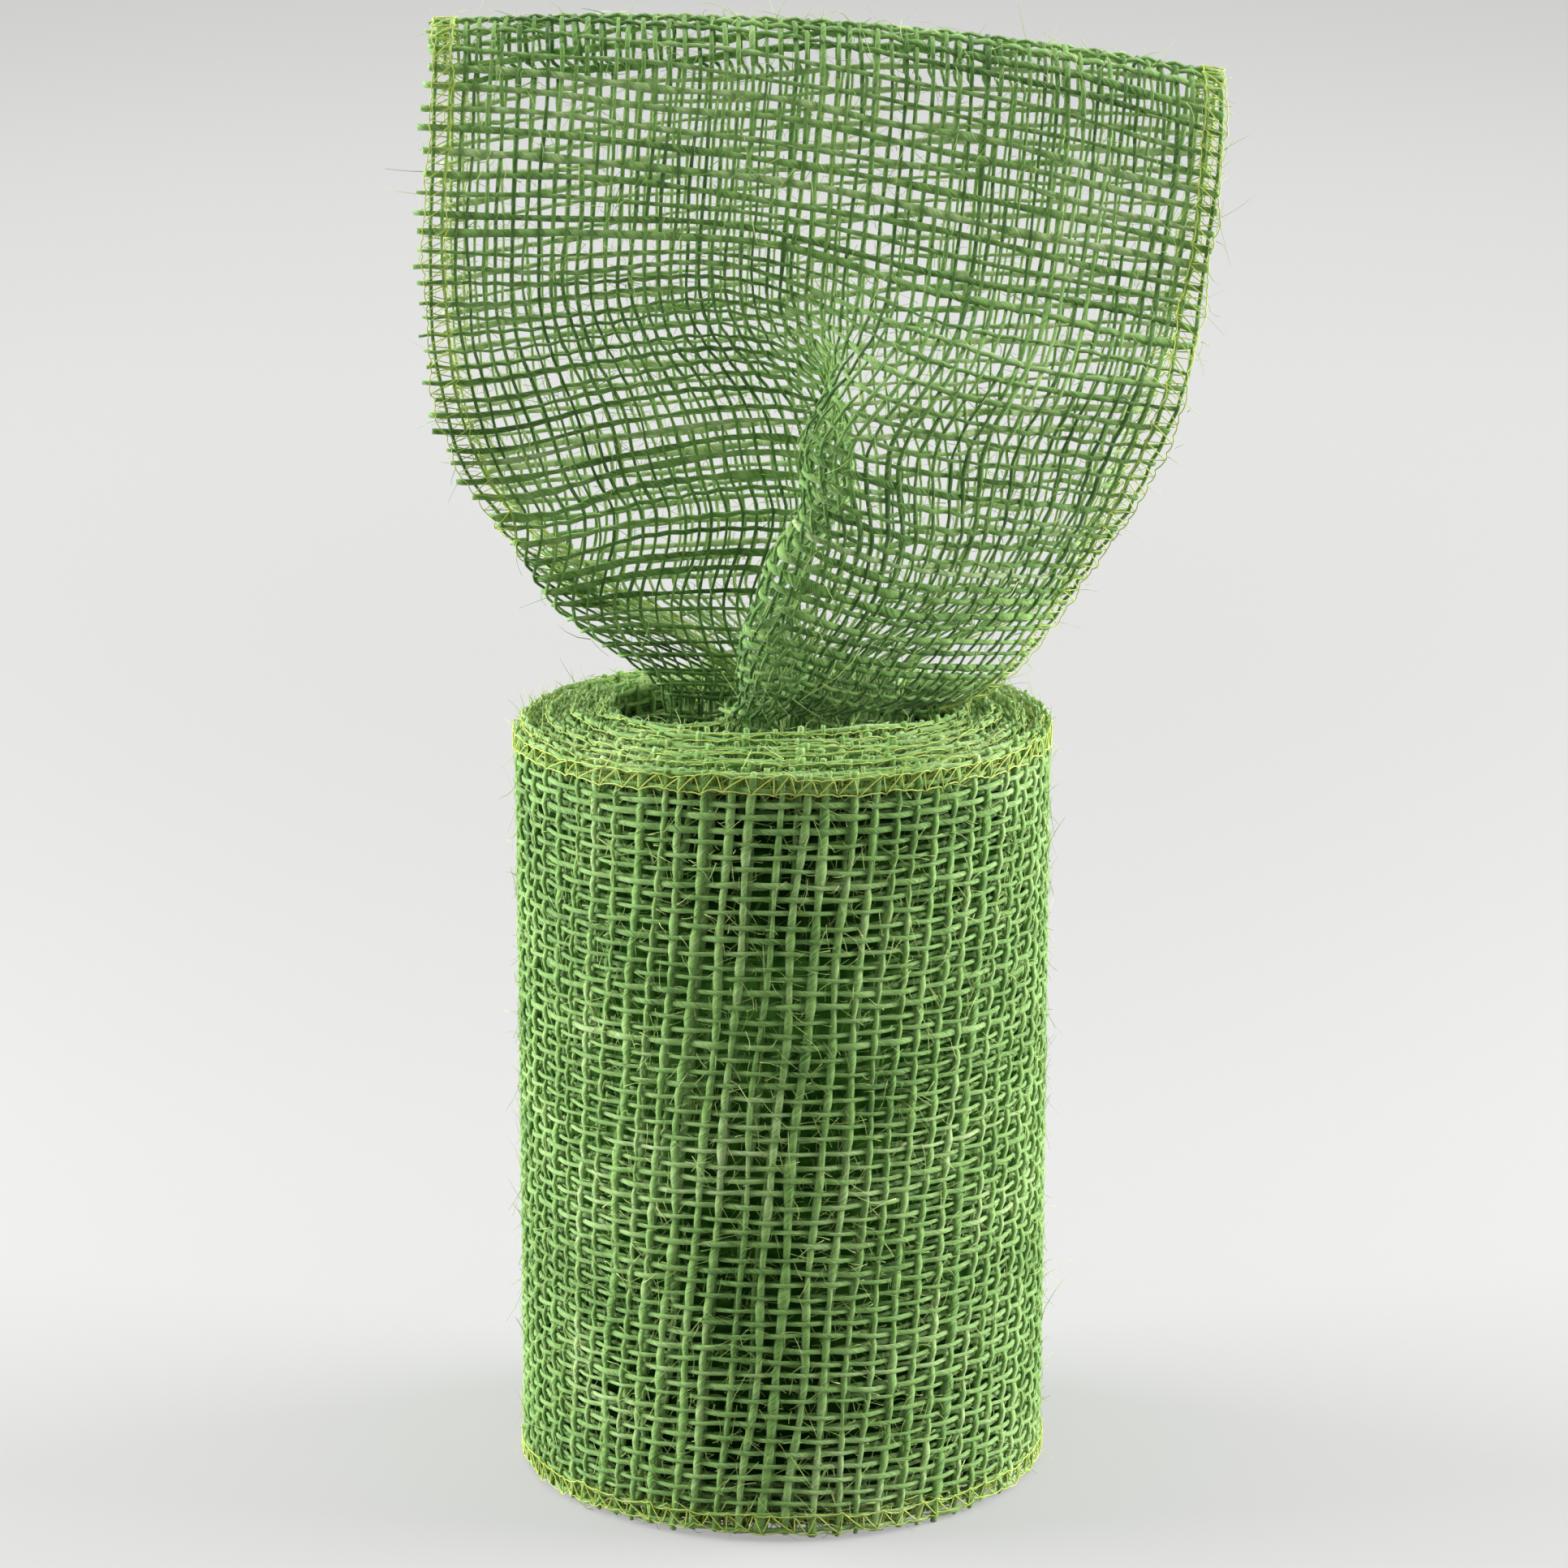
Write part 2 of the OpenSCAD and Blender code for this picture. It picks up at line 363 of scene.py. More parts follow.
class BakeSheet:
    """Lays strands side by side on a square, in rows as tall as their girth.

    Margins are shares of a strand's place on the square. A strand's ends lie flat in the margins past them.
    """

    END_MARGIN = 0.02
    SIDE_MARGIN = 0.04
    CAP_MIDDLE = 0.35
    CAP_REACH = 0.3
    CAP_HALF = 0.4

    def __init__(self, sets: list[Strands]) -> None:
        """Finds the row width from the area that all strands cover.

        Args:
            sets: the strands to lay out.
        """
        self.spans = [float(s.lengths()[:, -1].max()) for s in sets]
        self.girths = [float(np.pi * (s.half_wide.mean() + s.half_thick.mean())) for s in sets]
        area = sum(len(s.centre) * n * g for s, n, g in zip(sets, self.spans, self.girths))
        self.width = math.sqrt(area)
        self.cuts = [max(1, math.ceil(n / self.width)) for n in self.spans]
        self.beside = [max(1, int(self.width / n)) for n in self.spans]
        rows = [math.ceil(len(s.centre) * c / b) for s, c, b in zip(sets, self.cuts, self.beside)]
        tops = np.concatenate([[0.0], np.cumsum([r * g for r, g in zip(rows, self.girths)])])
        self.height = float(tops[-1])
        self.tops = tops

    def place(self, which: int, strand: Array, interval: Array, count: int, u: Array, v: Array) -> Array:
        """Finds the map place of points on one set's strands.

        Args:
            which: number of the set.
            strand: strand of each point.
            interval: interval between rings that each point belongs to.
            count: intervals on a strand.
            u: place along the strand, counted in intervals.
            v: place around it, 0 to 1.

        Returns:
            One map place for each point.
        """
        per = math.ceil(count / self.cuts[which])
        piece = interval // per
        slot = strand * self.cuts[which] + piece
        row, column = np.divmod(slot, self.beside[which])
        share = self.END_MARGIN + (1 - 2 * self.END_MARGIN) * (u - piece * per) / per
        x = (column + share) / self.beside[which]
        level = row + self.SIDE_MARGIN + (1 - 2 * self.SIDE_MARGIN) * v
        y = (self.tops[which] + level * self.girths[which]) / self.height
        return np.stack([x, y], axis=-1)

    def cap(self, turn: Array) -> tuple[Array, Array]:
        """Lays a strand's end flat in the margin past it.

        Args:
            turn: angles of the end's corners.

        Returns:
            How far past the end the corners lie, in intervals, and their places around the strand.
        """
        past = (self.CAP_MIDDLE - self.CAP_REACH * np.cos(turn)) * self.END_MARGIN
        return past, 0.5 + self.CAP_HALF * np.sin(turn)


def strand_object(name: str, sets: list[Strands], material: bpy.types.Material) -> bpy.types.Object:
    """Makes one object of closed tubes.

    Args:
        name: the object's name.
        sets: the strands to draw.
        material: their finish.

    Returns:
        The new object.
    """
    sheet = BakeSheet(sets)
    points, corners, starts, maps, ways, tones = [], [], [], [], [], []
    first_point, first_corner = 0, 0
    for which, s in enumerate(sets):
        n, m = s.centre.shape[:2]
        k = s.sides
        points.append(s.rings().reshape(-1, 3))
        tones.append(np.repeat(s.tone, m * k))
        lengths = s.lengths()
        numbers = np.meshgrid(np.arange(n), np.arange(m - 1), np.arange(k), indexing="ij")
        y, i, q = (a.reshape(-1) for a in numbers)
        ring = np.stack([i, i + 1, i + 1, i], axis=1)
        side = np.stack([q, q, q + 1, q + 1], axis=1)
        corners.append((first_point + (y[:, None] * m + ring) * k + side % k).reshape(-1))
        starts.append(first_corner + 4 * np.arange(len(y)))
        around = side / k
        places = sheet.place(which, y[:, None], i[:, None], m - 1, ring, around)
        maps.append(places.reshape(-1, 2))
        ways.append(np.stack([lengths[y[:, None], ring], around], axis=-1).reshape(-1, 2))
        first_corner += 4 * len(y)
        turn = np.arange(k) * TURN / k
        for end, order in ((0, np.arange(k)), (m - 1, np.arange(k)[::-1])):
            strand = np.arange(n)[:, None]
            corners.append((first_point + (strand * m + end) * k + order[None]).reshape(-1))
            starts.append(first_corner + k * np.arange(n))
            past, v = sheet.cap(turn[order])
            u = end + past if end else end - past
            last = max(0, end - 1)
            flat = sheet.place(which, strand, np.full((1, 1), last), m - 1, u[None], v[None])
            maps.append(flat.reshape(-1, 2))
            ways.append(np.stack([np.repeat(lengths[:, end], k), np.tile(v, n)], axis=-1))
            first_corner += k * n
        first_point += n * m * k
    return mesh_object(name, np.concatenate(points) * MM, corners, starts, maps, ways, tones, material)


def mesh_object(
    name: str, points: Array, corners: list[Array], starts: list[Array], maps: list[Array], ways: list[Array],
    tones: list[Array], material: bpy.types.Material,
) -> bpy.types.Object:
    """Fills a mesh from arrays and links its object.

    Args:
        name: the object's name.
        points: places in metres.
        corners: point numbers, face after face.
        starts: first corner of each face.
        maps: bake map place of each corner.
        ways: length along and share around the strand at each corner.
        tones: tone of each point.
        material: the finish.

    Returns:
        The new object.
    """
    mesh = bpy.data.meshes.new(name)
    corner, start = np.concatenate(corners), np.concatenate(starts)
    mesh.vertices.add(len(points))
    mesh.vertices.foreach_set("co", points.astype(np.float32).reshape(-1))
    mesh.loops.add(len(corner))
    mesh.loops.foreach_set("vertex_index", corner.astype(np.int32))
    mesh.polygons.add(len(start))
    mesh.polygons.foreach_set("loop_start", start.astype(np.int32))
    mesh.polygons.foreach_set("use_smooth", np.ones(len(start), dtype=bool))
    for title, values in ((ALONG_MAP, ways), (BAKE_MAP, maps)):
        layer = mesh.uv_layers.new(name=title)
        layer.data.foreach_set("uv", np.concatenate(values).astype(np.float32).reshape(-1))
    attribute = mesh.attributes.new(TONE, "FLOAT", "POINT")
    attribute.data.foreach_set("value", np.concatenate(tones).astype(np.float32))
    mesh.update(calc_edges=True)
    mesh.validate()
    mesh.materials.append(material)
    made = bpy.data.objects.new(name, mesh)
    bpy.context.scene.collection.objects.link(made)
    return made


class Wander:
    """Slow random wandering of many strands, the same wherever a strand is cut."""

    WAVES = 3
    SPREAD = (0.6, 1.7)
    FULLER = 1.5

    def __init__(self, rng: np.random.Generator, count: int, swing: float, reach: float) -> None:
        """Draws the waves of each strand.

        Args:
            rng: source of the draws.
            count: number of strands.
            swing: about how far they wander to each side.
            reach: about how long a wave is.
        """
        self.swing = swing
        self.rate = TURN / (reach * rng.uniform(*self.SPREAD, (count, self.WAVES)))
        self.phase = rng.uniform(0, TURN, (count, self.WAVES))

    def at(self, picked: Array, where: Array) -> Array:
        """Returns how far each picked strand has wandered at each place."""
        turn = self.rate[picked][:, None] * where[None, :, None] + self.phase[picked][:, None]
        return np.sin(turn).mean(axis=2) * self.FULLER * self.swing


@dataclass
class Winding:
    """The wound ribbon's course seen from above: curl, turns and loose outer end.

    The turns sway out of round, as an oval and a weaker trefoil. At the front the inner ones stand proud and
    the outer ones sag. A ripple is the height of its waves and the length of one radian of them, and phases
    are radians.
    """

    hollow_r: float = 33.8
    cloth_t: float = 1.1
    pitch: float = 1.6
    wound_angle: float = 3985.0
    inner_end: float = 200.0
    curl_r: float = 11.5
    curl_sweep: float = 165.0
    spring: float = 3.0
    end_sweep: float = 65.0
    proud: float = 2.6
    sag: float = 2.8
    lift: float = 0.5
    long_ripple: Pair = (0.35, 21.0)
    short_ripple: Pair = (0.25, 8.3)
    ripple_phase: float = 1.0
    ridge: float = 0.7
    ridge_run: float = 3.1
    ridge_stray: float = 0.6
    sway: float = 0.35
    oval_phase: float = 0.7
    trefoil: float = 0.5
    trefoil_rise: float = 60.0
    lean: float = 0.085
    height: float = 152.0
    upright: Pair = (60.0, 6.0)

    def __post_init__(self) -> None:
        """Works out the lengths of the three stretches."""
        self.start_r = self.hollow_r + self.cloth_t / 2
        self.growth = self.pitch / TURN
        self.wound_r = self.start_r + self.pitch * self.wound_angle / 360
        self.end_r = self.wound_r + self.spring
        self.wound_length = self.length_at(self.wound_angle)
        self.curl_length = self.curl_r * math.radians(self.curl_sweep)
        self.end_length = self.end_r * math.radians(self.end_sweep)

    def length_at(self, angle: float) -> float:
        """Returns the ribbon's length from the inner wall to a wound angle."""
        t = math.radians(angle)
        return self.start_r * t + self.growth * t * t / 2

    def frame_at(self, along: Array, across: Array) -> tuple[Array, Array]:
        """Places points on the ribbon.

        Args:
            along: length from where the ribbon meets the wall of the hollow.
            across: height on the ribbon.

        Returns:
            Points, and the normals of the outer face.
        """
        from_end = [self.wound_length - before for before in self.upright]
        lean = self.lean * (1 - smooth(*from_end, along))
        along = along - lean * (across - self.height / 2)
        wound = np.clip(along, 0, self.wound_length)
        turned = (np.sqrt(self.start_r**2 + 2 * self.growth * wound) - self.start_r) / self.growth
        radius = self.start_r + self.growth * turned
        heading = math.radians(self.inner_end) - turned
        curled = np.clip(-along, 0, None) / self.curl_r
        loose = np.clip(along - self.wound_length, 0, None) / self.end_r
        out = heading + curled - loose
        normal = np.stack([np.cos(out), np.sin(out), np.zeros_like(out)], axis=-1)
        hub = np.stack([np.cos(heading), np.sin(heading), np.zeros_like(out)], axis=-1)
        arm = np.where(along < 0, self.curl_r, np.where(along > self.wound_length, self.end_r, 0.0))
        point = hub * (radius - arm)[..., None] + normal * arm[..., None]
        oval = np.sin(2 * heading + self.oval_phase)
        trefoil = self.trefoil * np.sin(3 * heading + across / self.trefoil_rise)
        sway = self.sway * (oval + trefoil)
        point = point + normal * (sway * (along > 0))[..., None]
        inner = 1 - (radius - self.start_r) / (self.wound_r - self.start_r)
        front = 0.5 - 0.5 * np.sin(heading)
        rise = (self.proud * inner - self.sag * (1 - inner) * across / self.height) * front
        (high, run), (low, short_run) = self.long_ripple, self.short_ripple
        ripple = high * np.sin(along / run) + low * np.sin(along / short_run + self.ripple_phase)
        wave = turned / self.ridge_run + self.ridge_stray * np.sin(heading)
        ridge = self.ridge * np.sin(wave) * across / self.height
        point[..., 2] = across + rise + ripple + ridge + self.lift
        return point, normal

    def girth_at(self, along: Array, across: Array) -> Array:
        """Returns the share of their usual girth that yarns keep, which is all of it."""
        return np.ones(np.broadcast(along, across).shape)


@dataclass(frozen=True)
class Bunching:
    """How much closer than usual the front leaf's wefts lie, in shares of their pitch.

    They are close on the left, less so lower down, bunched into a ledge where the pleat opens, and drawn
    together at the foot. Stretches are distances below the fold, apart from left_from, left_to, inward_over
    and right_over, which are places across the cloth in half widths.
    """

    left_from: float = -0.25
    left_to: Pair = (0.6, 1.0)
    left_to_over: Pair = (70.0, 105.0)
    inward_over: Pair = (-0.95, -0.6)
    right_over: Pair = (-0.1, 0.3)
    close: float = 0.15
    close_over: Pair = (26.0, 36.0)
    eased: float = 0.4
    eased_over: Pair = (80.0, 100.0)
    ledge: float = 0.14
    ledge_over: Pair = (40.0, 50.0)
    ledge_fades: Pair = (62.0, 74.0)
    right_foot: float = 0.4
    right_foot_over: Pair = (78.0, 112.0)
    left_foot: float = 0.3
    left_foot_over: Pair = (96.0, 116.0)

    def share(self, down: Array, u: Array) -> Array:
        """Returns how closely wefts lie, as a share of their usual pitch.

        Args:
            down: distances below the fold.
            u: places across the cloth.

        Returns:
            Shares, for each distance and each place.
        """
        down = down[:, None]
        left = 1 - smooth(self.left_from, mix(*self.left_to, smooth(*self.left_to_over, down)), u)
        inward = smooth(*self.inward_over, u)
        eased = 1 - self.eased * inward * smooth(*self.eased_over, down)
        close = self.close * smooth(*self.close_over, down) * eased
        ledge = self.ledge * inward * smooth(*self.ledge_over, down) * (1 - smooth(*self.ledge_fades, down))
        right = smooth(*self.right_over, u)
        foot = self.right_foot * smooth(*self.right_foot_over, down) * right
        foot = foot + self.left_foot * smooth(*self.left_foot_over, down) * (1 - right)
        return 1 - left * (close + ledge) - foot


@dataclass
class LoopForm:
    """The tucked loop: front leaf with its pleat, fold over the top, and back leaf.

    Places across the cloth are counted in half widths, from -1 at the left edge to 1 at the right one, and
    heights as shares of the way from the roll's rim to the fold. The wefts are bunched on the front leaf's
    left, where the cloth is pushed into the pleat, and run askew over the fold. The skew's two stretches are
    lengths from the loop's two ends.
    """

    ribbon_w: float = 152.0
    rim_z: float = 153.5
    crown_z: float = 286.0
    crown_u: float = -0.5
    fold_r: float = 9.0
    top_drop: float = 11.0
    shift: float = 8.5
    tuck: float = 50.0
    front_length: float = 122.0
    front_cloth: float = 208.0
    back_length: float = 128.0
    foot_left: float = -22.0
    foot_right: float = 33.4
    foot_mid_y: float = -2.0
    flat_top: float = 0.8
    left_top: float = 0.6
    left_powers: Pair = (1.5, 3.5)
    left_bow: float = 2.0
    left_bow_from: float = 0.25
    left_bulge: float = 8.5
    left_bulge_at: Pair = (0.12, 0.095)
    right_top: float = 1.06
    right_power: float = 0.54
    left_curl: float = 190.0
    left_curl_from: float = 1.02
    left_curl_width: float = 0.1
    left_margin: float = 0.44
    left_margin_top: float = 0.38
    left_margin_power: float = 1.25
    front_belly: float = 4.0
    pleat_turn: float = 138.0
    pleat_reach: Pair = (0.23, 0.13)
    pleat_fades: Pair = (0.42, 0.74)
    pleat_shift: float = 0.1
    pleat_shift_over: Pair = (0.24, 0.37)
    foot_turn: float = 160.0
    foot_reach: float = 0.2
    foot_top: float = 0.2
    lay_left: float = -18.0
    lay_right: Pair = (36.0, 52.0)
    bunching: Bunching = Bunching()
    tent: float = 8.0
    tent_at: Pair = (-0.25, 0.35)
    tent_over: Pair = (0.0, 0.3)
    tent_fades: Pair = (0.5, 0.9)
    pleat_girth: float = 0.28
    pleat_girth_at: Pair = (0.2, 0.25)
    pocket_girth: float = 0.13
    pocket_girth_at: Pair = (-0.55, 0.35)
    girth_fades: Pair = (0.35, 0.6)
    back_belly: float = 12.0
    back_foot_x: float = 3.3
    back_foot_half: float = 21.0
    back_foot_y: float = 29.6
    back_foot_bow: float = 7.0
    back_foot_top: float = 0.16
    back_narrow: float = 0.03
    back_turn_round: float = 0.02
    back_under: float = 3.0
    back_under_fades: Pair = (-0.05, 0.0)
    back_girth: Pair = (1.03, 0.84)
    back_girth_over: Pair = (20.0, 60.0)
    gather: float = 4.4
    gather_over: Pair = (-0.3, 0.5)
    gather_most: float = 0.9
    gather_set: float = 1.1
    folds: int = 8
    skew: float = 8.0
    skew_pivot: float = -0.2
    skew_over: Pair = (0.0, 90.0)
    skew_fades: Pair = (120.0, 20.0)
    step: float = 1.0
    columns: int = 207
    finer: int = 10
    heights: int = 241
    reach: float = 1.03

    def __post_init__(self) -> None:
        """Draws the whole loop once, on a grid of places on the cloth."""
        self.fold_length = math.pi * self.fold_r
        self.length = self.front_cloth + self.fold_length + self.back_length + self.tuck
        self.u = np.linspace(-self.reach, self.reach, self.columns)
        self.front_plan = self.draw_front_plan()
        rest = np.arange(self.step, self.length - self.front_cloth + self.step, self.step)
        front, front_girth = self.front_rows()
        self.points = np.concatenate([front, np.stack([self.upper_row(a) for a in rest])])
        upper_girth = mix(*self.back_girth, smooth(*self.back_girth_over, rest))[:, None]
        upper_girth = np.broadcast_to(upper_girth, (len(rest), self.columns))
        self.girths = np.concatenate([front_girth, upper_girth])[..., None]
        self.normals = unit(np.cross(np.gradient(self.points, axis=1), np.gradient(self.points, axis=0)))

    def left_side(self, h: Array) -> Array:
        """Finds the left edge, which bulges beside the pleat's foot.

        Args:
            h: share of the loop's height.

        Returns:
            The edge's place at each height.
        """
        early, late = self.left_powers
        out = 1 - (1 - np.clip(h / self.left_top, 0, 1) ** early) ** late
        above = (h - self.left_bow_from) / (1 - self.left_bow_from)
        bow = self.left_bow * np.sin(np.pi * np.clip(above, 0, 1))
        bulge = self.left_bulge * hump(h, *self.left_bulge_at)
        return mix(self.foot_left, self.shift - self.ribbon_w / 2, out) - (bow + bulge)

    def right_side(self, h: Array) -> Array:
        """Returns the right edge's place at a share of the loop's height."""
        out = np.sin(np.pi / 2 * np.clip(h / self.right_top, 0, 1)) ** self.right_power
        return mix(self.foot_right, self.shift + self.ribbon_w / 2, out)

    def turned_at(self, h: Array) -> Array:
        """Returns how far from the middle the cloth turns under on the left, in half widths."""
        margin = self.left_margin * np.clip(1 - h / self.left_margin_top, 0, 1) ** self.left_margin_power
        return self.left_curl_from - margin

    def draw_front_plan(self) -> Array:
        """Draws the front leaf's course seen from above, at even heights from foot to fold.

        The course is walked by its heading, which the pleat and the turned-under left margin bend.

        Returns:
            Places in plan, over heights and columns.
        """
        h = np.linspace(0, 1, self.heights)[:, None]
        u = np.linspace(-self.reach, self.reach, self.finer * (self.columns - 1) + 1)
        low = 1 - smooth(0, self.flat_top, h)
        clear = smooth(0, self.foot_top, h)
        turn = mix(self.foot_turn, self.pleat_turn, clear) * (1 - smooth(*self.pleat_fades, h))
        at = self.pleat_shift * smooth(*self.pleat_shift_over, h)
        deep_side, front_side = (mix(self.foot_reach, reach, clear) for reach in self.pleat_reach)
        lay = np.where(u > 0, mix(*self.lay_right, clear), self.lay_left) * u * low
        heading = lay - turn * hump(u, at, np.where(u < at, deep_side, front_side))
        turned = self.turned_at(h)
        heading = heading - self.left_curl * smooth(turned, turned + self.left_curl_width, -u)
        step = u[1] - u[0]
        way = np.stack([np.cos(np.radians(heading)), np.sin(np.radians(heading))], axis=-1)
        walk = np.cumsum((way[:, 1:] + way[:, :-1]) * step / 2, axis=1)
        walk = np.concatenate([np.zeros((len(h), 1, 2)), walk], axis=1)
        edge = [int(np.argmin(abs(u - e))) for e in (-1, 0, 1)]
        leftmost = walk[:, edge[0]:, 0].min(axis=1)[:, None]
        pace = (self.right_side(h) - self.left_side(h)) / (walk[:, edge[2], :1] - leftmost)
        x = self.left_side(h) + pace * (walk[..., 0] - leftmost)
        y = pace * (walk[..., 1] - walk[:, edge[1], 1:]) + low * self.foot_mid_y
        y = y - (1 - low) * self.fold_r - self.front_belly * np.sin(np.pi * h)
        return np.stack([x, y], axis=-1)[:, :: self.finer]

    def front_rows(self) -> tuple[Array, Array]:
        """Places the front leaf's rows, from its tucked end up to the fold.

        Returns:
            Points, and the share of their usual girth that yarns keep there.
        """
        down = np.arange(0, self.front_length + self.step / 2, self.step)
        share = self.bunching.share(down, self.u)
        used = np.cumsum(self.step / share, axis=0)
        used = used - used[0]
        along = np.arange(0, self.front_cloth + self.step / 2, self.step)
        below = self.front_cloth - along
        v = np.empty((len(along), self.columns))
        girth = np.empty_like(v)
        for j in range(self.columns):
            shown = np.interp(below, used[:, j], down)
            tucked = (below - used[-1, j]) / (self.front_cloth - used[-1, j])
            v[:, j] = np.where(below <= used[-1, j], 1 - shown / self.front_length, -tucked)
            girth[:, j] = np.sqrt(np.interp(shown, down, share[:, j]))
        tent = hump(self.u, *self.tent_at) * smooth(*self.tent_over, v) * (1 - smooth(*self.tent_fades, v))
        v = np.clip(v + self.tent * tent / self.front_length, -1, 1)
        fuller = self.pleat_girth * hump(self.u, *self.pleat_girth_at)
        fuller = fuller - self.pocket_girth * hump(self.u, *self.pocket_girth_at)
        girth = girth * (1 + fuller * (1 - smooth(*self.girth_fades, v)))
        h = np.clip(v, 0, 1) * (self.heights - 1)
        i = np.minimum(h.astype(int), self.heights - 2)
        column = np.arange(self.columns)[None]
        plan = mix(self.front_plan[i, column], self.front_plan[i + 1, column], (h - i)[..., None])
        return np.concatenate([plan, self.level(v)[..., None]], axis=-1), girth

    def fold_z(self) -> Array:
        """Returns the height at which each column starts over the fold."""
        drop = ((self.u - self.crown_u) / (1 - self.crown_u)) ** 2
        return self.crown_z - self.fold_r - self.top_drop * drop

    def upper_row(self, past: float) -> Array:
        """Places one row past the front leaf: over the fold, then down the back leaf.

        Args:
            past: length past the front leaf.

        Returns:
            One point for each column.
        """
        if past < self.fold_length:
            turn = past / self.fold_r
            x = self.shift + self.u * self.ribbon_w / 2
            y = 0 * x - self.fold_r * np.cos(turn)
            return np.stack([x, y, self.fold_z() + self.fold_r * np.sin(turn)], axis=-1)
        left = self.fold_length + self.back_length - past
        return self.back_row(left / (self.tuck if left < 0 else self.back_length))

    def back_row(self, v: float) -> Array:
        """Places a row of the back leaf, which lies along the front one and is gathered on the right.

        Args:
            v: share of the way up, below 0 in the hollow and 1 at the fold.

        Returns:
            One point for each column.
        """
        h = np.full_like(self.u, max(0.0, v))
        low = 1 - smooth(0, self.flat_top, h)
        left, right = self.left_side(h), self.right_side(h)
        turned = self.turned_at(h)
        full = self.ribbon_w / 2 * (1 - self.back_narrow * np.sqrt(1 - h))
        gathered = 1 - sum(self.gather_over) / 2
        tight = np.clip((1 + turned - (right - left) / full) / gathered, 0, self.gather_most)
        clear = smooth(0, self.back_foot_top, h)
        drawn = 1 - tight * smooth(*self.gather_over, self.u)
        eased = mix(self.back_foot_half / full, drawn, clear)
        run = np.cumsum(drawn) * (self.u[1] - self.u[0])
        run = run - np.interp(-turned, self.u, run)
        spread = left + full * np.sqrt(run**2 + self.back_turn_round**2)
        x = mix(self.back_foot_x + self.back_foot_half * self.u, spread, clear)
        slack = np.sqrt(np.clip(1 - eased**2, 0, 1))
        folds = self.gather * slack * (np.cos(self.folds * np.pi * self.u) - self.gather_set)
        under = self.back_under * (1 - smooth(*self.back_under_fades, run)) * clear
        belly = self.back_belly * np.sin(np.pi * h)
        foot = self.back_foot_y - self.back_foot_bow * self.u**2
        y = low * foot + (1 - low) * self.fold_r + belly + folds - under
        return np.stack([x, y, self.level(np.full_like(self.u, v))], axis=-1)

    def level(self, v: Array) -> Array:
        """Returns the height at a share of the way up each column."""
        return np.where(v < 0, self.rim_z + v * self.tuck, mix(self.rim_z, self.fold_z(), v))

    def between(self, grid: Array, along: Array, across: Array) -> Array:
        """Blends the four grid values round each place on the cloth.

        Args:
            grid: values on the loop's grid.
            along: length from the front leaf's tucked end.
            across: place from the left edge.

        Returns:
            One value for each place.
        """
        along, across = np.broadcast_arrays(along, across)
        u = across / self.ribbon_w * 2 - 1
        before_end = [self.length - before for before in self.skew_fades]
        ends = smooth(*self.skew_over, along) * (1 - smooth(*before_end, along))
        r = (along - self.skew * (u - self.skew_pivot) * ends) / self.step
        c = (u - self.u[0]) / (self.u[1] - self.u[0])
        i = np.clip(r.astype(int), 0, len(grid) - 2)
        j = np.clip(c.astype(int), 0, self.columns - 2)
        r, c = (r - i)[..., None], (c - j)[..., None]
        return mix(mix(grid[i, j], grid[i, j + 1], c), mix(grid[i + 1, j], grid[i + 1, j + 1], c), r)

    def frame_at(self, along: Array, across: Array) -> tuple[Array, Array]:
        """Places points on the loop, with the arguments of between.

        Returns:
            Points, and the normals of the outer face.
        """
        return self.between(self.points, along, across), unit(self.between(self.normals, along, across))

    def girth_at(self, along: Array, across: Array) -> Array:
        """Returns the share of their usual girth that yarns keep, with the arguments of between."""
        return self.between(self.girths, along, across)[..., 0]


@dataclass(frozen=True)
class Stitching:
    """How evenly the overlock is sewn, in millimetres or in shares of a stitch.

    A dip is how far a thread strays across the ribbon between two stitches, and how far it sinks.
    """

    salt: int = 17
    spare: int = 20
    stray: float = 0.4
    apex: Pair = (-0.1, 0.35)
    needle_stray: float = 0.3
    looper_stray: float = 0.35
    rise: Pair = (0.72, 1.0)
    middle: Pair = (0.35, 0.65)
    needle_dip: Pair = (0.35, 0.1)
    chain_dip: Pair = (0.3, 0.25)
    inner_shift: Pair = (0.5, 0.6)
    bow: float = 0.2
    tone_spread: float = 0.3


@dataclass(frozen=True)
class Fuzz:
    """How loose fibres grow, in millimetres or in shares of a fibre's length."""

    radius: float = 0.065
    uneven: float = 0.25
    taper: Pair = (1.15, 0.5)
    sides: int = 3
    least: float = 1.0
    evenness: float = 3.0
    root: float = 0.5
    past_edge: float = 0.3
    ahead: float = 0.4
    lean: float = 0.9
    fall: float = 0.45
    bend: Pair = (0.1, 0.7)
    tone: Pair = (0.5, 0.6)
    floor_gap: float = 0.1


